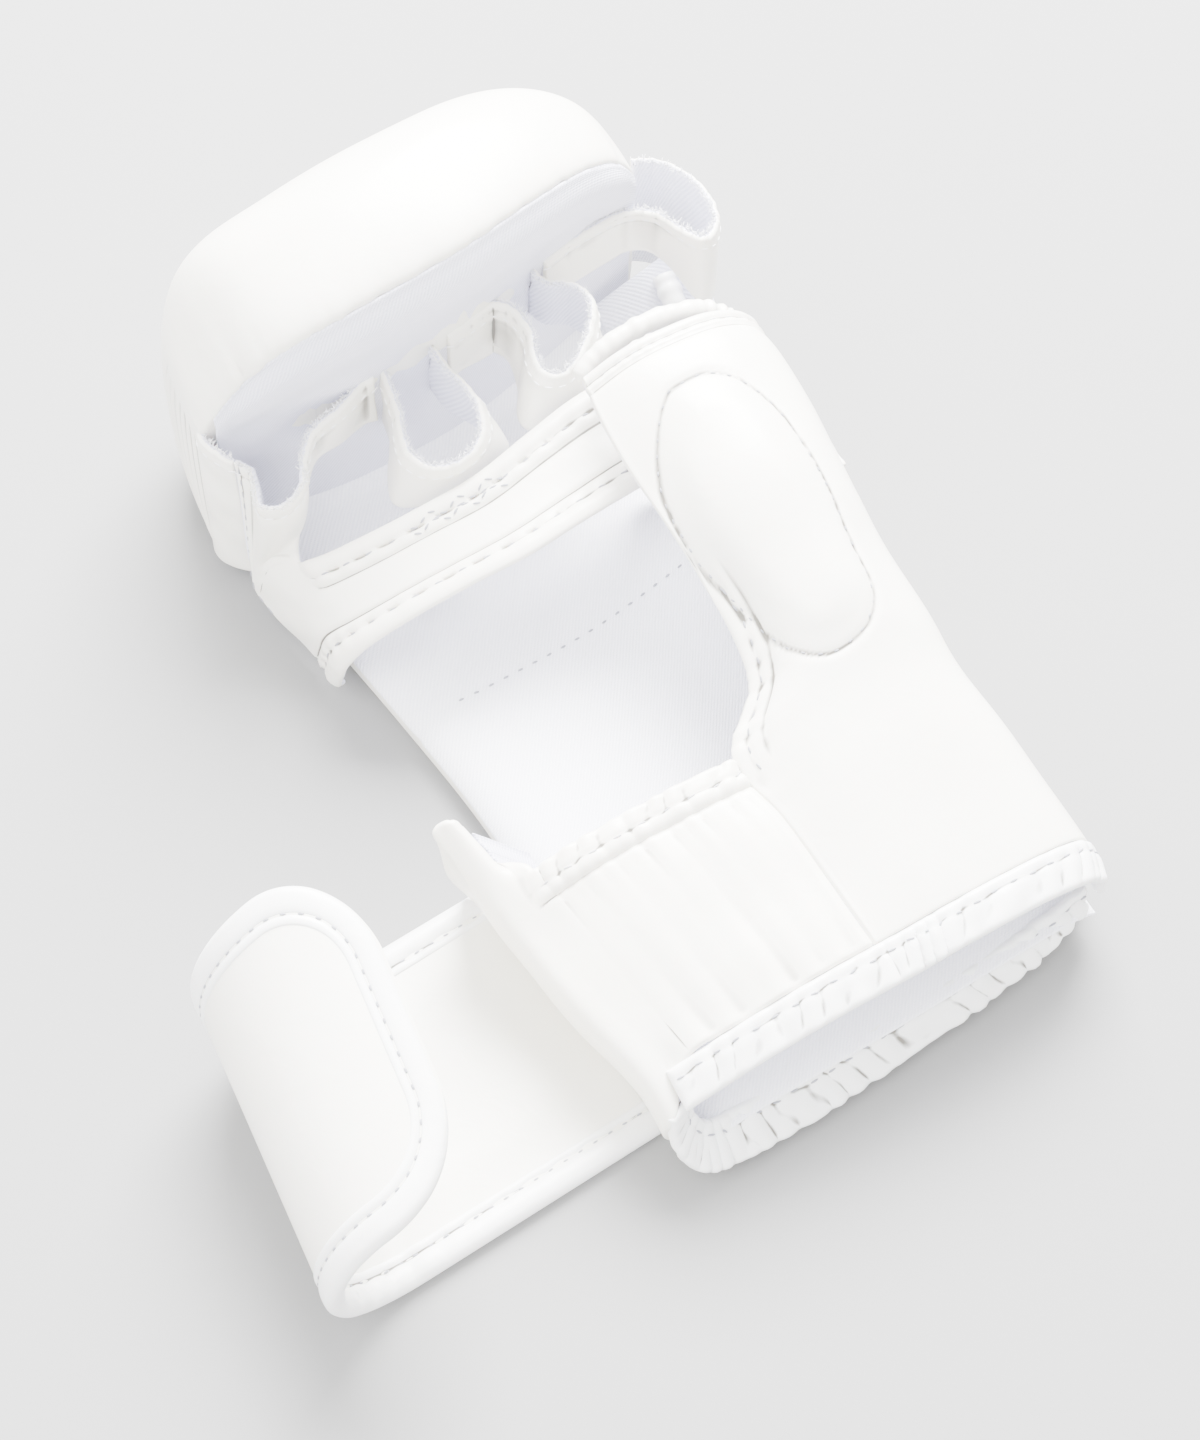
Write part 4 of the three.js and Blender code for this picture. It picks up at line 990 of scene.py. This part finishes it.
def make_palm_bar():
    def relief(a, b, points):
        body = BAR_BODY * a.max()
        fold = BAR_FOLD * b.max()
        lower = turned_hem(a, b, STITCH_LONG, 1.2) * step_up(b, 0, 3)
        upper = turned_hem(np.abs(body - a), b, STITCH_LONG, 1.3) * step_up(b, fold - 1, fold + 3)
        middle = hump(a, body / 2, body / 2)
        folds = 0.6 * middle * swells(points, 30, 51) * step_up(b, 4, 26)
        left = 1 - step_up(b, fold * 0.8, fold * 1.8)
        slack = 0.3 * left * step_up(a, HEM, HEM + 5) * (1 - step_up(a, body + 6, body + 16))
        crease = slack * waves(b * 0.5 + a * 0.9, 20, 52)
        rim = 0.22 * waves(b, 4.0, 53) * np.exp(-(a.max() - a) / 2.5)
        pull = -0.35 * groove(a.max() - a, LOOP_STITCH, 0.7) * (1 - step_up(b, fold, fold + 1))
        seam = -0.6 * groove(b, 1.6, 1.0) * step_up(a, body + 8, body + 14)
        return lower + upper + folds + crease + rim + pull + seam

    sheet = Sheet(bar_surface, LEATHER + 0.4, relief, 0.8, turned=True, notch=(BAR_BODY, BAR_FOLD))
    made = sheet.build("palm_bar_leather", leather, twill)
    finish(made, "leather", "palm_bar", "bar_hem_wrist", "bar_hem_finger")
    body = BAR_BODY * sheet.length
    fold = BAR_FOLD * sheet.width
    b = np.linspace(2, sheet.width - 2, 120)
    low = sheet.on(np.full_like(b, HEM_STITCH), b, 0.05)
    b = np.linspace(fold + 5, sheet.width - 2, 120)
    high = sheet.on(np.full_like(b, body - HEM_STITCH), b, 0.05)
    stitches("bar_hem_stitches", [low, high], length=2.2)
    b = np.linspace(0.53, 0.70, 30) * sheet.width
    extra = [sheet.on(body - HEM_STITCH + side + 0.5 * np.sin(b), b, 0.05) for side in (1.2, -1.2)]
    stitches("bar_tack_stitches", extra, pitch=2.8, length=2.0)
    b = np.linspace(0.4, fold - 0.4, int(fold / 0.5))
    rim = sheet.on(np.full_like(b, sheet.length - 0.2), b, 0.1)
    top_row = sheet.on(np.full_like(b, sheet.length - LOOP_STITCH), b, 0.05)
    a = np.linspace(body - 4, sheet.length - 2, 60)
    seam_row = sheet.on(a, np.full_like(a, 1.6), 0.05)
    stitches("little_finger_stitches", [top_row], pitch=3.4, length=2.2, radius=0.22, thread=thread_white)
    stitches("gusset_seam_stitches", [seam_row], pitch=4.2, length=2.6, radius=0.26)
    return rim


# Thumb sleeve and the wrist panel it runs into. edge is its left border, crown its highest
# line, side the furthest line on the right and foot the line on the back padding's side.
SLEEVE = table("y edgeX edgeZ crownX crownZ sideX foot",
               (-0.870, 0.222, 0.380, 0.44, 0.385, 0.852, 0.848),
               (-0.690, 0.213, 0.405, 0.46, 0.435, 0.834, 0.828),
               (-0.500, 0.200, 0.425, 0.49, 0.480, 0.825, 0.812),
               (-0.320, 0.178, 0.430, 0.52, 0.520, 0.812, 0.798),
               (-0.200, 0.300, 0.450, 0.54, 0.560, 0.808, 0.794),
               (-0.070, 0.334, 0.490, 0.56, 0.610, 0.805, 0.788),
               (0.100, 0.330, 0.545, 0.57, 0.655, 0.808, 0.788),
               (0.250, 0.317, 0.600, 0.57, 0.690, 0.820, 0.792),
               (0.400, 0.305, 0.640, 0.56, 0.715, 0.838, 0.798),
               (0.550, 0.312, 0.665, 0.54, 0.730, 0.836, 0.800),
               (0.645, 0.330, 0.668, 0.52, 0.716, 0.822, 0.800))
RIM_SKEW = 0.06


def sleeve_surface(u, v):
    """The sleeve from its left border over its crown to the foot, and from wrist to mouth."""
    get = lambda key: column(SLEEVE, key, v)
    crown = get("crownZ")
    xs = [get("edgeX"), mix(get("edgeX"), get("crownX"), 0.5), get("crownX"),
          mix(get("crownX"), get("sideX"), 0.5), mix(get("crownX"), get("sideX"), 0.86),
          get("sideX"), mix(get("sideX"), get("foot"), 0.5), get("foot")]
    zs = [get("edgeZ"), mix(get("edgeZ"), crown, 0.8), crown, crown * 0.965, crown * 0.83,
          crown * 0.55, crown * 0.28, np.full_like(crown, 0.03)]
    skew = RIM_SKEW * u * u * np.maximum(1 - v / 0.3, 0)
    return place(blend_rows(xs, u), get("y") + skew, blend_rows(zs, u))


# Outline of the padded patch on the thumb, across the palm and along it
PATCH = table("x y",
              (0.470, 0.487), (0.420, 0.442), (0.362, 0.354), (0.336, 0.265), (0.336, 0.136),
              (0.354, 0.034), (0.380, -0.077), (0.415, -0.179), (0.485, -0.236), (0.586, -0.223),
              (0.649, -0.157), (0.669, -0.040), (0.688, 0.105), (0.689, 0.246), (0.680, 0.348),
              (0.639, 0.442), (0.578, 0.487), (0.525, 0.492))


def patch_distance(points):
    """Signed distance to the thumb patch's outline on the plan, positive inside."""
    t = np.linspace(0, 1, 160)
    closed = {key: np.append(PATCH[key], PATCH[key][0]) for key in PATCH}
    line = np.stack([column(closed, "x", t) * HAND_WIDTH, column(closed, "y", t) * HAND_LENGTH], -1)
    flat = points[..., :2].reshape(-1, 2)
    far = np.sqrt(((flat[:, None, :] - line[None]) ** 2).sum(-1)).min(axis=1)
    a = line
    b = np.roll(line, -1, axis=0)
    crossing = ((a[None, :, 1] > flat[:, None, 1]) != (b[None, :, 1] > flat[:, None, 1]))
    slope = (b[:, 0] - a[:, 0]) / np.where(np.abs(b[:, 1] - a[:, 1]) < 1e-9, 1e-9, b[:, 1] - a[:, 1])
    reach = a[None, :, 0] + (flat[:, None, 1] - a[None, :, 1]) * slope[None]
    inside = (crossing & (flat[:, None, 0] < reach)).sum(axis=1) % 2 == 1
    return np.where(inside, far, -far).reshape(points.shape[:-1]), line


def make_thumb_sleeve():
    def relief(a, b, points):
        near, _ = patch_distance(points)
        upper = step_up(points[..., 2], 30, 45)
        cushion = 1.8 * step_up(near, 0, 10) * upper
        pull = -0.7 * groove(near, 0, 1.0) * upper
        mouth = turned_hem(b.max() - b, a, 4.7, 0.9, MOUTH_HEM, MOUTH_STITCH)
        palm = 1 - step_up(points[..., 1], -6, 16)
        above = step_up(points[..., 1], -40, -32)
        band = turned_hem(a, b, STITCH_LONG, 0.8) * palm * above
        gather = 0.9 * gathers(b, 5.0, 63) * np.exp(-a / 5) * hump(points[..., 1], -30, 22)
        soft = 0.8 * swells(points, 48, 61)
        dimple = -2.4 * hump(points[..., 0], 73, 11) * hump(points[..., 1], -8, 20) * upper
        edge = 0.5 * np.exp(-a / 1.6)
        return cushion + pull + mouth + band + gather + soft + dimple + edge

    sheet = Sheet(sleeve_surface, LEATHER, relief, step=1.1)
    made = sheet.build("thumb_sleeve_leather", leather, twill)
    finish(made, "leather", "thumb_sleeve", "thumb_hem")
    a = np.linspace(2, sheet.length * 0.80, 120)
    mouth = sheet.on(a, np.full_like(a, sheet.width - MOUTH_STITCH), 0.05)
    b = np.linspace(0.27, 0.56, 60) * sheet.width
    band_row = sheet.on(np.full_like(b, HEM_STITCH), b, 0.0)
    stitches("thumb_mouth_stitches", [mouth, band_row], pitch=4.4, length=2.0)
    _, line = patch_distance(np.zeros((1, 3)))
    grid = sheet.front.reshape(-1, 3)
    high = grid[grid[:, 2] > 28]
    nearest = ((high[None, :, :2] - line[:, None]) ** 2).sum(-1).argmin(axis=1)
    oval = np.concatenate([line, high[nearest][:, 2:3] + 0.05], axis=1)
    stitches("thumb_patch_stitches", [oval], pitch=STITCH_SHORT, length=1.3, radius=0.28)


def make_thumb_back():
    upper = route(table("x y z", (0.400, 0.705, 0.600), (0.480, 0.715, 0.635), (0.600, 0.720, 0.625),
                        (0.710, 0.725, 0.580), (0.790, 0.725, 0.480)))
    lower = route(table("x y z", (0.465, 0.600, 0.177), (0.530, 0.570, 0.147), (0.600, 0.560, 0.137),
                        (0.670, 0.570, 0.137), (0.730, 0.600, 0.137)))

    def relief(a, b, points):
        return 1.0 * gathers(b, 7, 71) * np.exp(-a / 9) + 0.5 * swells(points, 20, 72)

    sheet = Sheet(between(upper, lower), 2.4, relief, step=0.9)
    made = sheet.build("thumb_back_leather", leather)
    finish(made, "leather", "thumb_back")
    lip = route(table("x y z", (0.325, 0.668, 0.640), (0.370, 0.690, 0.668), (0.440, 0.700, 0.690),
                      (0.520, 0.704, 0.700), (0.600, 0.702, 0.692), (0.680, 0.694, 0.665),
                      (0.735, 0.672, 0.625), (0.772, 0.620, 0.590), (0.792, 0.540, 0.565),
                      (0.803, 0.440, 0.545), (0.806, 0.330, 0.525), (0.806, 0.220, 0.500)))
    t = np.linspace(0, 1, 260)
    path = lip(t)
    far = t * 150
    thick = 2.3 * step_up(t, 0, 0.05) * (1 - 0.75 * step_up(t, 0.55, 1.0)) + 0.25
    pulled = 0.75 * gathers(far, 5.5, 73) * hump(t, 0.55, 0.16) + 0.25 * waves(far, 11, 74)
    made = roll("thumb_back_lip", path, thick + pulled, leather)
    finish(made, "leather")


def make_index_web():
    """Lining and its gathered binding between the index loop and the thumb."""
    left = route(table("x y z", (0.600, 1.090, 0.260), (0.640, 0.990, 0.150),
                       (0.660, 0.860, 0.135), (0.660, 0.740, 0.135)))
    right = route(table("x y z", (0.925, 1.120, 0.330), (0.905, 1.010, 0.290),
                        (0.870, 0.900, 0.260), (0.830, 0.740, 0.240)))
    web = Sheet(between(left, right), TEXTILE, lambda a, b, points: 0.5 * swells(points, 16, 141))
    made = web.build("index_web_twill", twill)
    finish_cloth(web, made)
    inner = route(table("x y z", (0.800, 1.060, 0.300), (0.790, 0.980, 0.270), (0.770, 0.900, 0.250),
                        (0.740, 0.800, 0.230)))
    t = np.linspace(0, 1, 120)
    far = t * 30
    made = roll("index_web_binding", inner(t), 3.0 + 0.5 * gathers(far, 6.0, 142), binding)
    finish(made, "binding")


# Palm panel of the cuff, between the left roll and the thumb piece
PANEL = table("y leftX leftZ midZ",
              (-0.870, -0.330, 0.290, 0.355),
              (-0.740, -0.360, 0.305, 0.385),
              (-0.600, -0.392, 0.325, 0.410),
              (-0.460, -0.415, 0.345, 0.430),
              (-0.320, -0.440, 0.360, 0.445))


def panel_surface(u, v):
    """Palm side of the cuff, from the rolled edge to the seam on the sleeve."""
    get = lambda key: column(PANEL, key, v)
    seam_x = column(SLEEVE, "edgeX", v * 0.3)
    seam_z = column(SLEEVE, "edgeZ", v * 0.3)
    x = mix(get("leftX"), seam_x - 0.003, u)
    bow = 4 * u * (1 - u)
    flat = mix(get("leftZ"), seam_z, u)
    return place(x, get("y"), flat + (get("midZ") - (get("leftZ") + seam_z) / 2) * bow)


CUFF_ROLL = 0.36     # share of the cuff's surface along u from its foot to the roll's inner edge
CUFF_OPEN = 0.765    # share along v where the palm opening's hem lies


def side_at(y, key):
    """Column of the side's table at a place along the hand."""
    t = np.linspace(0, 1, 300)
    return column(SIDE, key, np.interp(y, column(SIDE, "y", t), t))


def cuff_surface(u, v):
    """The cuff from its foot on the left, over the rolled edge, to the seam on the panel."""
    t = np.clip(v / CUFF_OPEN, 0, 1)
    past = np.clip((v - CUFF_OPEN) / (1 - CUFF_OPEN), 0, 1)
    y_side = np.where(v < CUFF_OPEN, mix(-0.965, -0.320, t), mix(-0.320, -0.120, past))
    y_panel = np.where(v < CUFF_OPEN, mix(-0.870, -0.320, t), mix(-0.320, -0.140, past))
    get = lambda key: side_at(y_side, key)
    top_x = get("topX")
    top_z = get("topZ")
    panel = lambda share: panel_surface(share + 0 * v, t)
    inner = panel(0.13)
    inner_x = mix(inner[..., 0] / HAND_WIDTH, top_x + 0.038, step_up(past, 0, 0.4))
    inner_z = mix(inner[..., 2] / HAND_HEIGHT, top_z - 0.035, step_up(past, 0, 0.5))
    foot_z = SIDE_FOOT / HAND_HEIGHT + 0 * v
    fat = 1 - 0.45 * step_up(v, CUFF_OPEN - 0.1, 1.0)
    xs = [top_x + 0.040, top_x + 0.005, top_x - 0.040 * fat, top_x - 0.050 * fat, top_x - 0.035 * fat,
          top_x + 0.010, inner_x]
    zs = [foot_z, mix(foot_z, top_z, 0.35), top_z - 0.105 * fat, top_z - 0.058 * fat, top_z - 0.014 * fat,
          top_z + 0.010, inner_z]
    ys = [y_side] * 5 + [mix(y_side, y_panel, 0.6), y_panel]
    for share in (0.34, 0.56, 0.78, 1.0):
        spot = panel(share)
        xs.append(spot[..., 0] / HAND_WIDTH)
        zs.append(spot[..., 2] / HAND_HEIGHT)
        ys.append(y_panel)
    turn = np.where(u < CUFF_ROLL, u / CUFF_ROLL * 0.6, 0.6 + (u - CUFF_ROLL) / (1 - CUFF_ROLL) * 0.4)
    return place(blend_rows(xs, turn), blend_rows(ys, turn), blend_rows(zs, turn))


def make_cuff():
    def relief(a, b, points):
        roll = CUFF_ROLL * a.max()
        opening = CUFF_OPEN * b.max()
        from_edge = np.abs(opening - b)
        on_panel = step_up(a, roll - 4, roll + 2)
        hem = 0.9 * (1 - step_up(from_edge, 7.8, 8.7)) - 0.7 * groove(from_edge, 9.0, 0.8)
        hem = (hem - 0.35 * groove(from_edge, OPENING_STITCH, 0.7)) * on_panel
        near = 1 - step_up(from_edge, 5, 9.5)
        folds = 0.9 * gathers(a, 7.5, 81, 0.6 * from_edge) * near * on_panel
        dents = 0.7 * waves(a, 17, 85) * np.exp(-b / 24) * on_panel
        pulls = 0.4 * waves(a, 8, 82) * np.exp(-np.abs(from_edge - HEM) / 9) * on_panel
        sag = -1.2 * hump(a, roll + 0.55 * (a.max() - roll), 26) * hump(b, opening * 0.45, 22)
        seam = -0.9 * groove(a, a.max(), 1.5)
        ear = 0.5 * waves(a, 12, 84) * np.exp(-(b.max() - b) / 6)
        return hem + folds + pulls + dents + sag + seam + ear + 0.5 * swells(points, 34, 83)

    sheet = Sheet(cuff_surface, LEATHER + 0.6, relief, 0.8, notch=(CUFF_ROLL, CUFF_OPEN))
    made = sheet.build("cuff_leather", leather, twill)
    finish(made, "leather", "palm_panel", "palm_opening_hem", "cuff_side")
    roll = CUFF_ROLL * sheet.length
    opening = CUFF_OPEN * sheet.width
    a = np.linspace(roll + 1, sheet.length - 2, 90)
    row = sheet.on(a, np.full_like(a, opening - OPENING_STITCH), 0.05)
    stitches("palm_opening_stitches", [row], length=2.2, radius=0.24, thread=thread_pale_painted_shade)


def make_cuff_lining():
    """Ribbed cloth inside the rolled edge, seen beside the palm opening."""
    def surface(u, v):
        y = mix(-0.46, -0.15, v)
        x = mix(side_at(y, "topX") + 0.045, side_at(y, "footX") + 0.085, u)
        z = mix(side_at(y, "topZ") - 0.06, (BACK_THICKNESS + 2) / HAND_HEIGHT, u)
        return place(x, y, z)

    sheet = Sheet(surface, TEXTILE, lambda a, b, points: 0.3 * waves(b, 2.6, 95), step=0.8)
    made = sheet.build("cuff_lining_twill", twill)
    finish_cloth(sheet, made)


# Rolled left side of the cuff: its highest line and its foot
SIDE = table("y topX topZ footX",
             (-1.000, -0.325, 0.22, -0.340),
             (-0.860, -0.332, 0.29, -0.355),
             (-0.650, -0.383, 0.32, -0.375),
             (-0.420, -0.424, 0.35, -0.385),
             (-0.230, -0.458, 0.40, -0.375),
             (-0.120, -0.487, 0.44, -0.370))
SIDE_FOOT = 5.6          # height of the foot over the floor


def palm_rim(t):
    """Wrist rim of the palm side, from the rolled edge over the thumb's side."""
    seam = 0.38
    low = panel_surface(np.minimum(t / seam, 1), np.zeros_like(t))
    high = sleeve_surface(np.clip((t - seam) / (1 - seam), 0, 1) * 0.74, np.zeros_like(t))
    return np.where((t < seam)[..., None], low, high)


def make_wrist_hems():
    def palm_outer(t):
        reach = -0.096 - 0.004 * np.sin(np.pi * t)
        return palm_rim(t) + place(-0.022 * t * t, reach, np.full_like(t, -0.036))

    def palm_relief(a, b, points):
        fold = 1.0 * gathers(b, 6.5, 101, 0.5 * a) * step_up(a, 0.5, 3)
        return fold - 0.4 * groove(a, PALM_HEM_STITCH, 0.8) + 0.3 * waves(b, 9, 102)

    palm = Sheet(between(palm_rim, palm_outer), 2.8, palm_relief, step=0.8)
    made = palm.build("wrist_hem_palm_binding", binding)
    finish(made, "binding", "wrist_hem_palm")
    inner = route(table("x y z", (-0.300, -0.925, 0.235), (-0.297, -0.945, 0.170), (-0.262, -0.958, 0.128),
                        (-0.170, -0.958, 0.122), (-0.020, -0.955, 0.120), (0.130, -0.946, 0.122),
                        (0.340, -0.935, 0.122), (0.560, -0.918, 0.127), (0.700, -0.905, 0.137),
                        (0.810, -0.895, 0.160)))
    outer = route(table("x y z", (-0.375, -0.955, 0.235), (-0.372, -1.010, 0.130), (-0.315, -1.048, 0.055),
                        (-0.200, -1.055, 0.037), (-0.030, -1.050, 0.033), (0.130, -1.035, 0.035),
                        (0.340, -1.015, 0.040), (0.560, -0.985, 0.045), (0.690, -0.960, 0.060),
                        (0.800, -0.925, 0.100)))

    def back_relief(a, b, points):
        fold = 1.25 * gathers(b, 5.6, 111, -0.5 * a) * step_up(a, 0, 4) * step_up(b, 12, 40)
        return fold - 0.4 * groove(a, BACK_HEM_STITCH, 0.8) + 0.4 * waves(b, 8, 112)

    back = Sheet(between(inner, outer), 2.8, back_relief, step=0.8)
    made = back.build("wrist_hem_back_binding", binding)
    finish(made, "binding", "wrist_hem_back")
    b = np.linspace(2, palm.width - 2, 120)
    palm_row = palm.on(np.full_like(b, PALM_HEM_STITCH), b, 0.1)
    b = np.linspace(2, back.width - 2, 120)
    back_row = back.on(np.full_like(b, BACK_HEM_STITCH), b, 0.1)
    stitches("wrist_hem_stitches", [palm_row, back_row], pitch=5.2, length=2.1)


# Strap. a runs along it from the cuff, b across it from its finger side edge, and rise is
# the height over its middle. It lies on the floor, then curls up and back.
STRAP_START = 0.350 * HAND_WIDTH
STRAP_BINDING = 4.6


def strap_points(a, b, rise):
    """Points of the strap at places a and b and a height over its middle."""
    share = b / STRAP_WIDTH
    radius = STRAP_CURL * mix(1, 0.80, share)
    start = STRAP_FLAT + STRAP_SLANT * share
    flare = 5.5 * (share - 0.5) * step_up(a, start, start + 2 * radius)
    y = -0.125 * WRIST_LENGTH - b - flare - 0.075 * np.minimum(a, start + radius)
    mid = STRAP_BINDING / 2
    turn = np.clip((a - start) / radius, 0, np.pi)
    past = np.maximum(a - start - np.pi * radius, 0)
    reach = radius - rise
    x = np.where(a < start, -STRAP_START - a, -STRAP_START - start - reach * np.sin(turn) + past)
    z = np.where(a < start, mid + rise, mid + radius - reach * np.cos(turn) - 0.04 * past)
    return np.stack([x, y, z], -1)


def strap_length():
    return STRAP_FLAT + math.pi * STRAP_CURL + STRAP_TAB


def strap_edge(a, length, corner):
    """How far the strap's edge is drawn in by its rounded corners."""
    past = np.maximum(a - (length - corner), 0)
    return corner - np.sqrt(np.maximum(corner * corner - past * past, 0))


def make_strap():
    length = strap_length()
    stations = np.concatenate([np.linspace(0, length - STRAP_CORNER, 150),
                               length - STRAP_CORNER + STRAP_CORNER
                               * np.sin(np.linspace(0.02, 1, 30) * np.pi / 2) * 0.998])
    across = np.linspace(0, 1, 70)
    a = np.repeat(stations[:, None], 70, axis=1)
    inset = strap_edge(a, length, STRAP_CORNER)
    b = mix(inset + 1.2, STRAP_WIDTH - inset - 1.2, across[None, :])
    rim = np.minimum(np.minimum(b, STRAP_WIDTH - b) - inset, length - a)
    pillow = STRAP_WALL / 2 + 0.5 * step_up(rim, STRAP_HEM - 1, STRAP_HEM + 12)
    flat = strap_points(a, b, 0 * a)
    soft = 0.35 * swells(flat, 40, 121)
    upper = strap_points(a, b, pillow + soft)
    lower = strap_points(a, b, -STRAP_WALL / 2 + 0 * a)
    ring = np.concatenate([upper, lower[:, ::-1]], axis=1)
    made = loft("strap_leather", ring, leather)
    finish(made, "leather", "strap")


def strap_outline():
    """Line round the strap's edge: along one side, round the free end and back."""
    length = strap_length()
    side = np.linspace(0, length - STRAP_CORNER, 200)
    turn = np.linspace(0, np.pi / 2, 60)[1:]
    corner_a = length - STRAP_CORNER + STRAP_CORNER * np.sin(turn)
    corner_b = STRAP_CORNER * (1 - np.cos(turn))
    end_b = np.linspace(STRAP_CORNER, STRAP_WIDTH - STRAP_CORNER, 50)[1:-1]
    a = np.concatenate([side, corner_a, np.full(48, length), corner_a[::-1], side[::-1]])
    b = np.concatenate([np.zeros(200), corner_b, end_b, STRAP_WIDTH - corner_b[::-1],
                        np.full(200, STRAP_WIDTH)])
    tangent_a = np.gradient(a)
    tangent_b = np.gradient(b)
    size = np.maximum(np.hypot(tangent_a, tangent_b), 1e-9)
    inward_a = -tangent_b / size
    inward_b = tangent_a / size
    return a, b, inward_a, inward_b


def make_strap_binding():
    a, b, in_a, in_b = strap_outline()
    far = distances(np.stack([a, b], -1))
    profile = table("inset rise",
                    (8.6, 1.2), (8.3, 1.9), (7.4, 2.1), (6.7, 1.9), (6.1, 1.6), (5.5, 2.0), (4.3, 2.5),
                    (2.6, 2.6), (1.2, 2.1), (0.3, 1.1), (0.0, 0.0), (0.3, -1.1), (1.2, -2.0),
                    (2.6, -2.3), (4.3, -2.3), (5.5, -2.0), (6.1, -1.6), (6.7, -1.9), (7.4, -2.1),
                    (8.3, -1.9), (8.6, -1.2))
    t = np.linspace(0, 1, 61)
    inset = column(profile, "inset", t)
    rise = column(profile, "rise", t)
    lower_curl = hump(far, far[-1] - 95, 55) + 0.5 * hump(far, 75, 40)
    fold = gathers(far, 7.5, 131)[:, None] * lower_curl[:, None]
    grow = 1 + 0.35 * fold * (rise[None, :] > 0)
    pucker = 0.18 * np.cos(2 * np.pi * far / (2 * STITCH_SHORT))[:, None]
    pucker = pucker * groove(inset[None, :], 6.0, 1.2) * (rise[None, :] > 0)
    ring_a = a[:, None] + in_a[:, None] * inset[None, :]
    ring_b = b[:, None] + in_b[:, None] * inset[None, :]
    rings = strap_points(ring_a, ring_b, rise[None, :] * grow + pucker)
    rings[..., 2] = np.maximum(rings[..., 2], 0.0)
    made = loft("strap_binding_leather", rings, binding)
    finish(made, "binding", "strap_binding")
    row_a = a + in_a * STRAP_STITCH
    row_b = b + in_b * STRAP_STITCH
    rows = [strap_points(row_a, row_b, np.full_like(a, rise))[4:-4] for rise in (1.75, -1.75)]
    stitches("strap_binding_stitches", rows, pitch=STITCH_SHORT, length=1.5, radius=0.28)


# Studio

FLOOR_SIZE = 6.0             # metres, as is all of the studio
SKY_STRENGTH = 4.3
KEY_POWER = 285.0
FILL_POWER = 40.0
LIGHT_AIM = (0.0, 0.0, 0.03)
CAMERA_AIM = (0.0, 0.0, 0.030)
CAMERA_FAR = 0.9
CAMERA_AZIMUTH = math.radians(-30.0)
CAMERA_ELEVATION = math.radians(60.0)
CAMERA_LENS = 94.0           # millimetres, on a sensor 36 high


def make_studio():
    half = FLOOR_SIZE / 2
    corners = [(-half, -half, 0), (half, -half, 0), (half, half, 0), (-half, half, 0)]
    mesh = bpy.data.meshes.new("floor")
    mesh.from_pydata(corners, [], [(0, 1, 2, 3)])
    floor = bpy.data.objects.new("floor", mesh)
    bpy.context.collection.objects.link(floor)
    mesh.materials.append(paper)
    world = bpy.data.worlds.new("studio")
    bpy.context.scene.world = world
    world.use_nodes = True
    sky = world.node_tree.nodes["Background"]
    sky.inputs["Color"].default_value = srgb("FFFFFF")
    sky.inputs["Strength"].default_value = SKY_STRENGTH
    softbox("key_light", (0.55, 0.75, 1.05), 0.9, KEY_POWER)
    softbox("fill_light", (-0.9, -0.2, 1.1), 1.4, FILL_POWER)


def softbox(name, spot, size, power):
    """Square soft light at a spot, turned to the glove's middle."""
    data = bpy.data.lights.new(name, "AREA")
    data.shape = "SQUARE"
    data.size = size
    data.energy = power
    made = bpy.data.objects.new(name, data)
    made.location = spot
    made.rotation_euler = (Vector(spot) - Vector(LIGHT_AIM)).to_track_quat("Z", "Y").to_euler()
    bpy.context.collection.objects.link(made)


def make_camera():
    level = math.cos(CAMERA_ELEVATION)
    back = Vector((math.sin(CAMERA_AZIMUTH) * level, -math.cos(CAMERA_AZIMUTH) * level,
                   math.sin(CAMERA_ELEVATION)))
    data = bpy.data.cameras.new("camera")
    data.sensor_fit = "VERTICAL"
    data.sensor_height = 36.0
    data.lens = CAMERA_LENS
    data.clip_start = 0.05
    made = bpy.data.objects.new("camera", data)
    made.location = Vector(CAMERA_AIM) + back * CAMERA_FAR
    made.rotation_euler = back.to_track_quat("Z", "Y").to_euler()
    bpy.context.collection.objects.link(made)
    bpy.context.scene.camera = made


make_camera()
make_studio()
make_knuckle_pad()
make_pad_lining()
make_back_pad()
make_hand_lining()
make_finger_loops(make_palm_bar())
make_thumb_sleeve()
make_thumb_back()
make_index_web()
make_cuff()
make_cuff_lining()
make_wrist_hems()
make_strap()
make_strap_binding()
